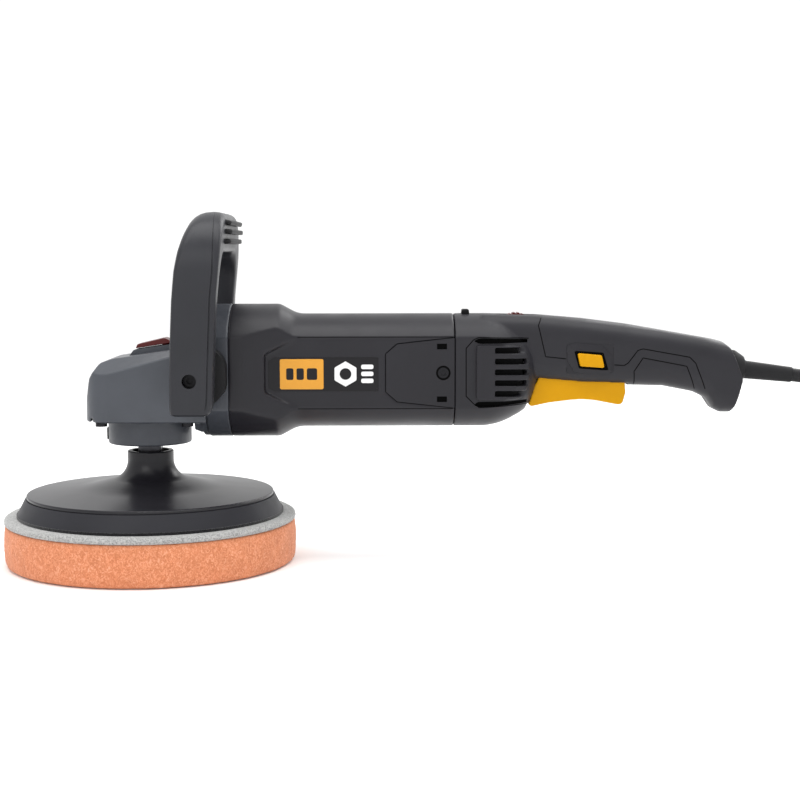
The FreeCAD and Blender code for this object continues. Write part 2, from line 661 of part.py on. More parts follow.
def make_bail():
    """Loop handle over the gear case: two legs and a crossbar, clamped by a bolt on each side."""
    front = new_body()
    inner = "(bail_half - bail_thick)"
    pad(front, "YZ", [("-bail_half", "bail_low", 4), ("-bail_half", "bail_top", 34),
                      ("bail_half", "bail_top", 34), ("bail_half", "bail_low", 4),
                      (inner, "bail_low", 4), (inner, "bail_top - 24", 16),
                      (f"-{inner}", "bail_top - 24", 16), (f"-{inner}", "bail_low", 4)], 10, 50)
    side = new_body()
    pad(side, "XZ", [(20.2, "bail_low - 1", 5), (20.4, 118), (22.0, 163, 90), (25.6, 194, 70),
                     (31.5, "bail_top + 1", 16), (52.5, "bail_top + 1", 14), (50.6, 190, 60),
                     (47.8, 163, 90), (45.4, 104), (45.2, "bail_low + 4"),
                     (41.5, "bail_low - 1")], "-bail_half - 1", "2 * bail_half + 2")
    body = common(front, side)
    holes = cylinder(4.05, "bail_half * 2 + 4", ("bail_bolt_place", "-bail_half - 2",
                                                 "bail_bolt_height"), "Y")
    node("bail_handle", cut(body, holes))
    node("bail_bolts", group(*[
        screw(("bail_bolt_place", f"{sign} * (bail_half - 5.4)", "bail_bolt_height"),
              "-Y" if sign > 0 else "Y", 3.9, 3.4, 2.95, 18) for sign in SIDES]))
    make_isolators()


def make_isolators():
    """Rubber blocks between the loop handle's legs and the gear case."""
    blocks = []
    for sign in SIDES:
        block = new_body()
        start = "-(bail_half - bail_thick - 0.2)" if sign > 0 else "drum_half + 0.1"
        length = "bail_half - bail_thick - 0.3 - drum_half"
        pad(block, "XZ", [(21.5, 101, 6), (44, 101, 8), (51.5, 110, 10), (51.5, 127, 12),
                          (46, 133.5, 6), (21.5, 133.5, 6)], start, length)
        hole = cylinder(9.1, 200, ("bail_bolt_place", -100, "bail_bolt_height"), "Y")
        blocks.append(cut(block, hole))
    node("bail_isolators", group(*blocks))


# ---------------------------------------------------------------- motor barrel

BRUSH_PLACE = 150.5
COVER_SCREW_PLACE = 180.6
PANEL_OUTLINE = [  # an arrow head towards the gear case, straight back to the seam
    ("seam_place + 1", "-panel_half"), ("panel_front + 19.7", "-panel_half"),
    ("panel_front", "-arrow_half"), ("panel_front", "arrow_half"),
    ("panel_front + 19.7", "panel_half"), ("seam_place + 1", "panel_half")]


def barrel_solid():
    """Outside of the barrel: a turned shell, flattened on both sides, with a sunk side panel."""
    shell = new_body((0, 0, "motor_height"))
    revolve(shell, [
        ("flange_rear", 0), ("flange_rear", "drum_radius"), ("drum_rear", "drum_radius", 6),
        ("barrel_front - 8", "barrel_radius", 16), ("seam_place", "barrel_radius"),
        ("seam_place", 0)], "H")
    plan = new_body()
    flat = "(barrel_half + 0.5)"
    pad(plan, "XY", [
        ("flange_rear - 1", "-drum_half"), (60, "-drum_half", 20), (92, f"-{flat}", 40),
        ("seam_place + 1", f"-{flat}"), ("seam_place + 1", flat), (92, flat, 40),
        (60, "drum_half", 20), ("flange_rear - 1", "drum_half")],
        "motor_height - drum_radius - 1", "2 * drum_radius + 2")
    panels = []
    for start in ("-drum_half - 1", "barrel_half"):
        panel = new_body((0, 0, "motor_height"))
        pad(panel, "XZ", PANEL_OUTLINE, start, "drum_half + 1 - barrel_half")
        panels.append(panel)
    return cut(common(shell, plan), *panels)


def cover_outline(inset):
    """Side cover over the brush gear, wider towards the rear."""
    return [(f"seam_place - {inset}", f"-21.2 + {inset}"), (f"152.8 + {inset}", f"-17.4 + {inset}"),
            (f"146 + {inset}", -11.4), (f"146 + {inset}", 11.4),
            (f"152.8 + {inset}", f"17.4 - {inset}"), (f"seam_place - {inset}", f"21.2 - {inset}")]


def make_motor_housing():
    cavity = fuse(
        flatted("71 - flange_rear + 1", "flange_rear - 1", "drum_radius - shell_wall",
                "fan_radius + 0.8"),
        flatted("seam_place - 70 + 1", 70, "barrel_radius - shell_wall",
                "barrel_half - shell_wall + 0.4"))
    spider = cut(
        fuse(flatted(3, 162, "barrel_radius - shell_wall + 0.4", "barrel_half - shell_wall + 0.6"),
             cylinder(13.5, 11, (162, 0, "motor_height"), "X")),
        cylinder(11, 8.5, (164.8, 0, "motor_height"), "X"),
        cylinder(6, 30, (150, 0, "motor_height"), "X"),
        *[cylinder(5, 5, (161, y, f"motor_height + {z}"), "X")
          for y, z in ((0, 22), (0, -22), (16, 16), (-16, 16), (16, -16), (-16, -16))])
    shell = cut(barrel_solid(), cavity)
    seats = []
    for sign in SIDES:
        seat = new_body((0, 0, "motor_height"))
        lowest = "barrel_half - cover_thick" if sign < 0 else "-barrel_half"
        pad(seat, "XZ", cover_outline(0), lowest, "cover_thick + 1" if sign < 0 else "cover_thick")
        seats.append(seat)
        seats.append(box((19, 6, 20), (149, f"{sign} * (barrel_half - 2) - 3",
                                       "motor_height - 10")))
    bosses = [cylinder(4.6, 9, ("flange_rear", y, z), "X") for y, z in FLANGE_SCREWS]
    bores = [cylinder(2.5, 30, ("flange_rear - 1", y, z), "X") for y, z in FLANGE_SCREWS]
    bores.append(cylinder(1.5, 80, (COVER_SCREW_PLACE, -40, "motor_height"), "Y"))
    solid = fuse(shell, spider, common(barrel_solid(), fuse(*bosses)))
    node("motor_housing", cut(solid, *seats, *bores))


def make_stator():
    core = flatted(46, 92, "barrel_radius - shell_wall - 0.1", "barrel_half - shell_wall + 0.3")
    node("stator_core", cut(core, cylinder("armature_radius + 0.6", 48,
                                           (91, 0, "motor_height"), "X")))
    coils = []
    for start in (83, 138.2):
        ring = tube("barrel_radius - shell_wall - 1.5", 21, 8.6, (start, 0, "motor_height"), "X")
        coils.append(cut(common(ring, box((9, 40, 70), (start, -20, "motor_height - 35"))),
                         box((11, 70, 30), (f"{start} - 1", -35, "motor_height - 15"))))
    node("field_windings", group(*coils))
    node("air_baffle", cut(flatted(1.4, 72, "barrel_radius - shell_wall - 0.1",
                                   "barrel_half - shell_wall + 0.3"),
                           cylinder(20, 4, (71, 0, "motor_height"), "X")))


def make_brush_gear():
    """Brass holders, carbon brushes and springs on each side of the commutator."""
    holders, brushes, springs = [], [], []
    for sign in SIDES:
        def span(near, far, margin, room):
            low = near if sign > 0 else -far
            return box((room, far - near, room + 2),
                       (f"{BRUSH_PLACE} + {margin}", low, f"motor_height - {room / 2 + 1}"))

        holders.append(cut(span(13.6, 24, 0, 9), span(13, 23, 1.3, 6.4)))
        brushes.append(span(12.2, 19.4, 1.4, 6.2))
        springs.append(tube(2.4, 1.7, 3.2, (f"{BRUSH_PLACE} + 4.5",
                                            19.5 if sign > 0 else -22.7, "motor_height"), "Y"))
    node("brush_holders", group(*holders))
    node("carbon_brushes", group(*brushes))
    node("brush_springs", group(*springs))
    covers = []
    for sign in SIDES:
        cover = new_body((0, 0, "motor_height"))
        low = "barrel_half - cover_thick + 0.05" if sign < 0 else "-barrel_half - 0.4"
        pad(cover, "XZ", cover_outline(0.15), low, "cover_thick + 0.35")
        slots = [box((6, 60, 3.4), (176.8, -30, f"motor_height + {place}"))
                 for place in (-17.6, 14.2)]
        hole = cylinder(3.7, 70, (COVER_SCREW_PLACE, -35, "motor_height"), "Y")
        covers.append(cut(cover, hole, *slots))
    node("brush_covers", group(*covers))


# ---------------------------------------------------------------- rear housing with the handle

HANDLE = [  # place along X, top, underside, half width, corner radius
    (205, 153.2, 118, 17.5, 10),
    (240, 152.4, 113.0, 18.5, 11),
    (268, 150.0, 110.2, 18.5, 12),
    (296, 146.4, 109.4, 18.2, 12),
    (316, 143.7, 108.9, 17.6, 12),
    (335, 140.3, 105.2, 17.0, 12),
    (343, 138.6, 101.4, 16.8, 12),
    (347.5, 137.4, 94.6, 16.6, 12),
    (352, 136.2, 92.3, 16.4, 12),
    (369, 132.0, 92.2, 16.0, 12),
]


def handle_solid(inset):
    body = new_body()
    sections = []
    for x, top, under, half, radius in HANDLE:
        side, high, low, bend = half - inset, top - inset, under + inset, radius - inset
        sections.append((x, [(-side, low, bend), (side, low, bend), (side, high, bend),
                             (-side, high, bend)]))
    loft(body, sections)
    end = new_body()
    pad(end, "XZ", [(f"364.6 - {inset}", 113, 6), (f"360.5 - {inset}", 97), (356.5, 88),
                    (190, 88), (190, 165), (352.5, f"136.4 - {inset}", 6),
                    (f"357.6 - {inset}", 132, 4)], -25, 50)
    return common(body, end)


def cap_solid(inset):
    """Domed rear end of the motor room."""
    dome = new_body((0, 0, "motor_height"))
    front = "seam_place + 0.3" if inset == 0 else "seam_place - 1"
    revolve(dome, [(front, 0), (front, f"barrel_radius - {inset}"),
                   (f"214 - {inset / 2}", f"barrel_radius - {inset}", 40),
                   (f"234.5 - {inset}", f"23.5 - {inset / 2}", 20), (f"243 - {inset}", 0)], "H")
    half = f"barrel_half - {inset}"
    return common(dome, box((70, f"2 * ({half})", 90), ("seam_place - 2", f"-({half})",
                                                       "motor_height - 45")))


CASE_SCREWS = [(200, 145.5), (200, 91.7), (302, 131), (326, 113), (352, 99.5), (346, 131)]
TRIGGER_OUTLINE = [  # a hook at the front, a shallow hollow for the fingers, a square rear end
    (247, 120, 2), (239.4, 120, 2), (239.4, 113), (237, 109.2), (233.3, 96, 1.6), (246, 98.7, 12),
    (268, 101.4, 60), (291.2, 96.9, 3), (293.3, 105), (292.6, 113.4, 2), (248, 117)]
LOCK_STEM = (270.2, 125.4)


def lead_axis():
    """Placement of a piece turned about the mains lead's exit; its own Z runs along the lead."""
    return FreeCAD.Rotation(VECTOR(0, 1, 0), 90 + 6.4)


def on_lead(thing):
    put(thing, (368, 0, 118.2), lead_axis())
    return thing


def make_rear_housing():
    """Two halves that meet on the centre plane: motor cap and handle in one."""
    outside = fuse(cap_solid(0), handle_solid(0))
    inside = fuse(cap_solid(2.8), handle_solid(2.8))
    bosses = [cylinder(4.4, 60, (x, -30, z), "Y") for x, z in CASE_SCREWS]
    shell = fuse(cut(outside, inside), common(outside, fuse(*bosses)))
    tools = [cylinder(2.1, 41, (x, -10.8, z), "Y") for x, z in CASE_SCREWS]
    tools += [cylinder(3.7, 30, (x, 9.5, z), "Y") for x, z in CASE_SCREWS]
    tools.append(box(("2 * dial_radius + 1", 9.8, 20), ("dial_place - dial_radius - 0.5", -4.9,
                                                       "dial_height - 2")))
    slot = new_body()
    pad(slot, "XZ", [(232.4, 88), (232.4, 97.6), (236.2, 110), (238.4, 114), (238.4, 121),
                     (249, 121), (294.2, 118), (294.6, 88)], "-trigger_half - 0.4",
        "2 * trigger_half + 0.8")
    tools.append(slot)
    tools.append(box((26.4, 8, 15.4), (257, -22, 118.6)))
    tools.append(cylinder(2.05, 25, ("trigger_pivot_place", -12.5, "trigger_pivot_height"), "Y"))
    tools.append(on_lead(cylinder(11.6, 40, (0, 0, 0))))
    tools[-1].setExpression(".Placement.Base.x", "352")
    tools[-1].setExpression(".Placement.Base.z", "120")
    for sign in SIDES:
        for index in range(5):
            tools.append(box((20, 12, 3.6), (211, 22 if sign > 0 else -34,
                                             f"motor_height - 14.4 + {index * 6.5}")))
    split = {"left": -60, "right": 0}
    for name, start in split.items():
        half = common(shell, box((200, 60, 110), (180, start, 70)))
        node(f"rear_housing_{name}", cut(half, *tools))
    case = [screw((x, 12, z), "-Y", 3.4, 2.4, 1.8, 20) for x, z in CASE_SCREWS]
    cover = [screw((COVER_SCREW_PLACE, f"{sign} * (barrel_half + 0.1)", "motor_height"),
                   "-Y" if sign > 0 else "Y", 3.5, 1.5, 1.4, 6) for sign in SIDES]
    node("case_screws", group(*case, *cover))


def make_vents():
    """Louvred grilles on both sides of the motor cap."""
    grilles = []
    for sign in SIDES:
        grille = new_body((0, 0, "motor_height"))
        low = "barrel_half + 0.05" if sign < 0 else "-barrel_half - 3"
        pad(grille, "XZ", [(200.5, -16.4, 2), (229, -16.4, 7), (234.5, 0, 24), (229, 16.4, 7),
                           (200.5, 16.4, 2)], low, 2.95)
        slots = [box((30, 64, 3.4), (211.5, -32, f"motor_height - 14.3 + {index * 6.5}"))
                 for index in range(5)]
        bar = cut(grille, *slots)
        spine = new_body((0, 0, "motor_height"))
        back = "barrel_half + 0.05" if sign < 0 else "-barrel_half - 1.2"
        pad(spine, "XZ", [(200.5, -16.4, 2), (227, -16.4, 7), (227, 16.4, 7), (200.5, 16.4, 2)],
            back, 1.15)
        rim = cut(spine, box((20, 64, 29.4), (211.5, -32, "motor_height - 14.3")))
        grilles.append(fuse(bar, rim))
    node("vent_grilles", group(*grilles))


def make_controls():
    pivot = ("trigger_pivot_place", "trigger_pivot_height")
    trigger = new_body()
    pad(trigger, "XZ", TRIGGER_OUTLINE, "-trigger_half", "2 * trigger_half")
    pivot_hole = cylinder(2.05, 60, (pivot[0], -30, pivot[1]), "Y")
    node("trigger", cut(trigger, pivot_hole))
    node("trigger_pin", cylinder(2, 24.8, (pivot[0], -12.4, pivot[1]), "Y"))
    node("switch_module", cut(
        box((42, 24, 22), (251, -12, 121.4)),
        cylinder(3.3, 12, (284, 0, 120)),
        cylinder(3.3, 4.1, (LOCK_STEM[0], -12.5, LOCK_STEM[1]), "Y")))
    node("switch_plunger", cylinder(3, 13, (284, 0, 114.9)))
    bezel = new_body()
    pad(bezel, "XZ", [(255.6, 117.6, 4), (283.4, 116.6, 4), (282.6, 132.6, 4), (256.4, 134, 4)],
        "handle_half", 2)
    node("lock_on_bezel", cut(bezel, lock_on_solid(0.5, 14, 12)))
    button = lock_on_solid(0, "handle_half - 1", 4)
    stem = cylinder(3, 5.2, (LOCK_STEM[0], "-handle_half + 1", LOCK_STEM[1]), "Y")
    node("lock_on_button", fuse(button, stem))
    wheel = tube("dial_radius", 2.6, 8.6, ("dial_place", -4.3, "dial_height"), "Y")
    notches = [cylinder(0.7, 12, (f"dial_place + dial_radius * {math.cos(angle):.4f}", -6,
                                  f"dial_height + dial_radius * {math.sin(angle):.4f}"), "Y")
               for angle in [2 * math.pi * index / 24 for index in range(24)]]
    node("speed_dial", cut(wheel, *notches))
    node("speed_control_module", fuse(
        cylinder(2.5, 11, ("dial_place", -5, "dial_height"), "Y"),
        box((14, 6, 12), ("dial_place - 7", 5.6, "dial_height - 7"))))


def lock_on_solid(grow, start, length):
    body = new_body()
    pad(body, "XZ", [(f"263.9 - {grow}", f"121.9 - {grow}", 1), (f"278.7 + {grow}",
                                                              f"120.8 - {grow}", 1),
                     (f"276.9 + {grow}", f"128.6 + {grow}", 1), (f"262.1 - {grow}",
                                                               f"129.9 + {grow}", 1)],
        start, length)
    return body


# ---------------------------------------------------------------- mains lead

LEAD_ROUTE = [(398, 0, 114.83), (433, 0, 110.9), (474, 0, 92), (513, -3, 54), (543, -2, 24),
              (560.5, 34, 4.2), (560.5, 76, 4.2)]
COIL_CENTRE = (494.5, 60)
TAIL_ROUTE = [(428.5, 60, 12.8), (428.5, 30, 12.8), (428.5, 4, 11.5), (428.5, -14, 11.5)]


def make_lead_exit():
    boot = turned([(-16, 0), (-16, 8), (-9, 8), (-9, 11.3), (-7, 11.3), (-1.2, 8.2), (0.2, 5.6),
                   (30.2, 4.7), (30.2, 0)], axis="H")
    put(boot, (368, 0, 118.2), FreeCAD.Rotation(VECTOR(0, 1, 0), 6.4))
    node("cable_boot", boot)
    bar = cut(box((9, 22, 4), (333, -11, 122.6)),
              *[cylinder(1.6, 8, (337.5, y, 121)) for y in (-7.5, 7.5)])
    screws = [screw((337.5, y, 128.7), "-Z", 2.8, 2, 1.5, 10) for y in (-7.5, 7.5)]
    node("cord_clamp", group(bar, *screws))


def rounded_path(points):
    """Straight runs joined by tangent arcs, each as large as its two runs allow."""
    corners = [VECTOR(*point) for point in points]
    edges, start = [], corners[0]
    for index in range(1, len(corners) - 1):
        corner = corners[index]
        back, ahead = corners[index - 1] - corner, corners[index + 1] - corner
        turn = math.pi - back.getAngle(ahead)
        reach = 0.45 * min(back.Length, ahead.Length)
        radius = reach / math.tan(turn / 2)
        print(f"lead bend {index}: radius {radius:.1f} mm, turn {math.degrees(turn):.0f} degrees")
        enter = corner + back.normalize() * reach
        leave = corner + ahead.normalize() * reach
        inward = (back + ahead).normalize()
        middle = corner + inward * (radius / math.cos(turn / 2) - radius)
        edges.append(Part.LineSegment(start, enter).toShape())
        edges.append(Part.Arc(enter, middle, leave).toShape())
        start = leave
    edges.append(Part.LineSegment(start, corners[-1]).toShape())
    return Part.Wire(edges)


def make_lead():
    solids = [cord_tube(LEAD_ROUTE), cord_tube(TAIL_ROUTE)]
    ring = tube("coil_outer_radius + cord_diameter / 2", "coil_inner_radius - cord_diameter / 2",
                "2 * cord_diameter + 0.1", (*COIL_CENTRE, 0))
    node("cord_coil", ring)
    doc.recompute()
    shape_node("power_cord", Part.makeCompound([solid.cut(ring.Shape) for solid in solids]))


def cord_tube(route):
    radius = value("cord_diameter / 2")
    path = rounded_path(route)
    start = VECTOR(*route[0])
    circle = Part.Circle(start, VECTOR(*route[1]) - start, radius).toShape()
    solid = path.makePipeShell([Part.Wire([circle])], True, False)
    share = solid.Volume / (math.pi * radius ** 2 * path.Length)
    print(f"cord tube {path.Length:.0f} mm, volume over section times length {share:.3f}")
    return solid


def make_plug():
    """Flat two-pin plug on the floor beside the coil, with its tapered tail towards the coil."""
    tail, axis_height = 428.5, 11.5
    body = new_body()
    pad(body, "XY", [(tail - 17.8, -64, 3), (tail + 17.8, -64, 3), (tail + 17.8, -36, 6),
                     (tail - 17.8, -36, 6)], 0, 22)
    relief = cone(9.5, 4.8, 39, (tail, -37, axis_height), "Y")
    bore = cylinder("cord_diameter / 2", 18, (tail, -14, axis_height), "Y")
    node("plug_body", cut(fuse(body, relief), bore))
    node("plug_pins", group(*[
        cylinder("pin_radius", "pin_length", (f"{tail} + {side} * pin_spacing / 2",
                                              "-64 - pin_length", axis_height), "Y")
        for side in SIDES]))


# ---------------------------------------------------------------- write every sub-part

def check_document():
    """Stop if any object failed without saying so."""
    doc.recompute()
    for thing in doc.Objects:
        if {"Invalid", "Error"} & set(thing.State):
            raise RuntimeError(f"{thing.Label} ({thing.Name}) failed: {thing.State}")
    for label, thing in nodes.items():
        shape = thing.Shape
        if shape.isNull() or not shape.isValid() or not shape.Solids:
            raise RuntimeError(f"{label} has no valid solid")


make_pad()
make_backing_plate()
make_spindle()
make_armature()
make_layshaft()
make_bevel_gears()
make_gear_case()
make_bearing_retainer()
make_mid_flange()
make_spindle_lock()
make_bail()
make_motor_housing()
make_stator()
make_brush_gear()
make_rear_housing()
make_vents()
make_controls()
make_lead_exit()
make_lead()
make_plug()
check_document()
os.makedirs("parts", exist_ok=True)
for label, thing in nodes.items():
    thing.Shape.exportStep(f"parts/{label}.step")
print(len(nodes), "nodes")
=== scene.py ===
"""Looks of the rotary polisher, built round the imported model.

Frame: metres. Z is up along the spindle, X runs to the rear handle, -Y faces the camera.
Shapes are given in millimetres, which MM turns into metres, and angles in degrees.
"""
import math

import bmesh
import bpy
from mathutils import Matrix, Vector, noise
from mathutils.bvhtree import BVHTree
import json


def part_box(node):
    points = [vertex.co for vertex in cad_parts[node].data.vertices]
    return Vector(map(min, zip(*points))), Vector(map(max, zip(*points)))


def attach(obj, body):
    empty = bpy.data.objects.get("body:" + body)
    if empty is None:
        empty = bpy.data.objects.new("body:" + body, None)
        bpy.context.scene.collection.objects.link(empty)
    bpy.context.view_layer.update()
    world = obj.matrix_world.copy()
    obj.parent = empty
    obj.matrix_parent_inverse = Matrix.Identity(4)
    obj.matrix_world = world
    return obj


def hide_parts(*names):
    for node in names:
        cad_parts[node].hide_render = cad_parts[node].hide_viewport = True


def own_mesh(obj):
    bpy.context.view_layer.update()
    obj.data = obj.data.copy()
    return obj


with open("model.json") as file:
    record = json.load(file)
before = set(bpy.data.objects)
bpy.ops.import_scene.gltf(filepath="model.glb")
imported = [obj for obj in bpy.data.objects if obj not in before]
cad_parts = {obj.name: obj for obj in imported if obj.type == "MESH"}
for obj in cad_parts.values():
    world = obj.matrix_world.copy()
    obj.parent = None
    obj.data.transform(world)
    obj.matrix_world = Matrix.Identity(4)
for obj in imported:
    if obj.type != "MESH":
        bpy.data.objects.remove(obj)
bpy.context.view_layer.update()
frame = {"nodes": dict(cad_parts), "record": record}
MM = 0.001
SIDES = ((-1, "left"), (1, "right"))
RING_STEPS = 64


# ---------------------------------------------------------------- materials

class Shader:
    """A Principled material put together from small node calls, with sizes in millimetres."""

    def __init__(self, name, roughness, metallic=0.0, coat=0.0, specular=0.5):
        self.material = bpy.data.materials.new(name)
        self.material.use_nodes = True
        self.tree = self.material.node_tree
        self.surface = self.tree.nodes["Principled BSDF"]
        self.surface.inputs["Roughness"].default_value = roughness
        self.surface.inputs["Metallic"].default_value = metallic
        self.surface.inputs["Coat Weight"].default_value = coat
        self.surface.inputs["Specular IOR Level"].default_value = specular
        self.place = self.tree.nodes.new("ShaderNodeTexCoord").outputs["Object"]

    def link(self, source, target):
        """Join an output to an input."""
        self.tree.links.new(source, target)

    def stretched(self, stretch):
        """Object coordinates, scaled along each axis."""
        mapping = self.tree.nodes.new("ShaderNodeMapping")
        mapping.inputs["Scale"].default_value = stretch
        self.link(self.place, mapping.inputs["Vector"])
        return mapping.outputs["Vector"]

    def noise(self, size, detail, stretch=(1, 1, 1), distortion=0.0):
        """Cloudy noise whose blobs are size across."""
        node = self.tree.nodes.new("ShaderNodeTexNoise")
        node.inputs["Scale"].default_value = 1 / (size * MM)
        node.inputs["Detail"].default_value = detail
        node.inputs["Distortion"].default_value = distortion
        self.link(self.stretched(stretch), node.inputs["Vector"])
        return node.outputs["Fac"]

    def cells(self, size, stretch=(1, 1, 1)):
        """Distance to the middle of cells that are size across."""
        node = self.tree.nodes.new("ShaderNodeTexVoronoi")
        node.inputs["Scale"].default_value = 1 / (size * MM)
        self.link(self.stretched(stretch), node.inputs["Vector"])
        return node.outputs["Distance"]

    def ramp(self, factor, stops):
        """Colours run between stops of (place, colour or grey)."""
        node = self.tree.nodes.new("ShaderNodeValToRGB")
        line = node.color_ramp.elements
        while len(line) < len(stops):
            line.new(0.5)
        for element, (place, tone) in zip(line, stops):
            element.position = place
            tone = (tone, tone, tone) if isinstance(tone, float) else tone
            element.color = (*tone, 1)
        self.link(factor, node.inputs["Fac"])
        return node.outputs["Color"]

    def mix(self, share, first, second, kind="MIX"):
        """Two colours blended by a fixed share."""
        node = self.tree.nodes.new("ShaderNodeMix")
        node.data_type = "RGBA"
        node.blend_type = kind
        node.inputs["Factor"].default_value = share
        self.link(first, node.inputs["A"])
        self.link(second, node.inputs["B"])
        return node.outputs["Result"]

    def colour(self, source):
        """Use an output as the base colour."""
        self.link(source, self.surface.inputs["Base Color"])

    def rough(self, source):
        """Use an output as the roughness."""
        self.link(source, self.surface.inputs["Roughness"])

    def bump(self, height, strength, depth):
        """Add a height map on top of any that the surface has already."""
        node = self.tree.nodes.new("ShaderNodeBump")
        node.inputs["Strength"].default_value = strength
        node.inputs["Distance"].default_value = depth * MM
        self.link(height, node.inputs["Height"])
        if self.surface.inputs["Normal"].is_linked:
            self.link(self.surface.inputs["Normal"].links[0].from_socket, node.inputs["Normal"])
        self.link(node.outputs["Normal"], self.surface.inputs["Normal"])


def shade(colour, factor):
    """A lighter or darker colour."""
    return tuple(min(1.0, channel * factor) for channel in colour)


def moulded(name, colour, roughness, grain=0.5, depth=0.03, wear=1.0, specular=0.24):
    """Moulded plastic or rubber: fine spark-eroded grain, slight clouding and handling marks."""
    skin = Shader(name, roughness, specular=specular)
    cloud = skin.noise(size=38, detail=4)
    skin.colour(skin.ramp(cloud, [(0.3, shade(colour, 0.9)), (0.7, shade(colour, 1.1))]))
    marks = skin.noise(size=22, detail=5, distortion=0.4)
    polished, dulled = roughness - 0.03 * wear, roughness + 0.05 * wear
    skin.rough(skin.ramp(marks, [(0.35, polished), (0.65, dulled)]))
    skin.bump(skin.noise(size=grain, detail=2), strength=0.35, depth=depth)
    return skin.material


def metal(name, colour, roughness, brush=(1, 1, 1)):
    """Machined or ground metal with a directional finish."""
    skin = Shader(name, roughness, metallic=1.0)
    lines = skin.noise(size=0.6, detail=4, stretch=brush)
    cloud = skin.noise(size=12, detail=3)
    skin.colour(skin.ramp(cloud, [(0.3, shade(colour, 0.85)), (0.7, shade(colour, 1.1))]))
    skin.rough(skin.ramp(lines, [(0.3, roughness - 0.08), (0.7, roughness + 0.1)]))
    skin.bump(lines, strength=0.3, depth=0.02)
    return skin.material


def cast_paint(name, colour, roughness):
    """Paint over a die casting: soft orange peel with small pits under it."""
    skin = Shader(name, roughness, metallic=0.1, coat=0.08, specular=0.3)
    cloud = skin.noise(size=30, detail=5)
    skin.colour(skin.ramp(cloud, [(0.3, shade(colour, 0.88)), (0.7, shade(colour, 1.1))]))
    patches = skin.noise(size=5, detail=5)
    skin.rough(skin.ramp(patches, [(0.3, roughness - 0.07), (0.7, roughness + 0.08)]))
    skin.bump(skin.noise(size=1.1, detail=3), strength=0.4, depth=0.05)
    skin.bump(skin.cells(size=4.5), strength=0.08, depth=0.1)
    return skin.material


def foam(name):
    """Open-cell polishing foam: streaks left by the cutting wire, and pores."""
    skin = Shader(name, 0.95, specular=0.1)
    deep, mid, light = (0.50, 0.172, 0.080), (0.62, 0.232, 0.115), (0.73, 0.35, 0.215)
    strokes = skin.noise(size=1.7, detail=4, stretch=(1, 1, 0.8), distortion=1.8)
    patches = skin.noise(size=9, detail=3)
    body = skin.ramp(strokes, [(0.36, deep), (0.52, mid), (0.72, light)])
    wide = skin.ramp(patches, [(0.35, 0.93), (0.65, 1.0)])
    skin.colour(skin.mix(1.0, body, wide, "MULTIPLY"))
    skin.bump(strokes, strength=0.4, depth=0.3)
    skin.bump(skin.cells(size=0.7), strength=0.5, depth=0.25)
    skin.surface.inputs["Sheen Weight"].default_value = 0.12
    return skin.material


def felt(name, dark, light):
    """Loop fabric seen from the side: tiny loops in two greys."""
    skin = Shader(name, 0.95, specular=0.1)
    loops = skin.cells(size=0.9)
    clumps = skin.noise(size=0.9 * 1.6, detail=4)
    mixed = skin.mix(0.5, loops, clumps)
    skin.colour(skin.ramp(mixed, [(0.25, dark), (0.62, light)]))
    skin.bump(loops, strength=0.8, depth=0.35)
    skin.surface.inputs["Sheen Weight"].default_value = 0.3
    return skin.material


def wound(name, colour):
    """Enamelled copper wire laid side by side, with painted shading: each wire lighter along its
    middle and darker in the gaps.
    """
    skin = Shader(name, 0.3, metallic=0.85, coat=0.4)
    wires = skin.cells(size=0.8, stretch=(0.12, 1, 1))
    # Painted shading: lighter along each wire's middle, painted shade in the gaps between wires.
    skin.colour(skin.ramp(wires, [(0.1, shade(colour, 1.15)), (0.6, shade(colour, 0.45))]))
    skin.bump(wires, strength=0.7, depth=0.3)
    return skin.material


def laminated(name):
    """Stacked core plates: fine lines across the motor axis."""
    skin = Shader(name, 0.45, metallic=0.9)
    plates = skin.noise(size=0.7, detail=1, stretch=(1, 0.002, 0.002))
    skin.colour(skin.ramp(plates, [(0.4, (0.12, 0.12, 0.13)), (0.6, (0.3, 0.3, 0.31))]))
    skin.bump(plates, strength=0.6, depth=0.1)
    return skin.material


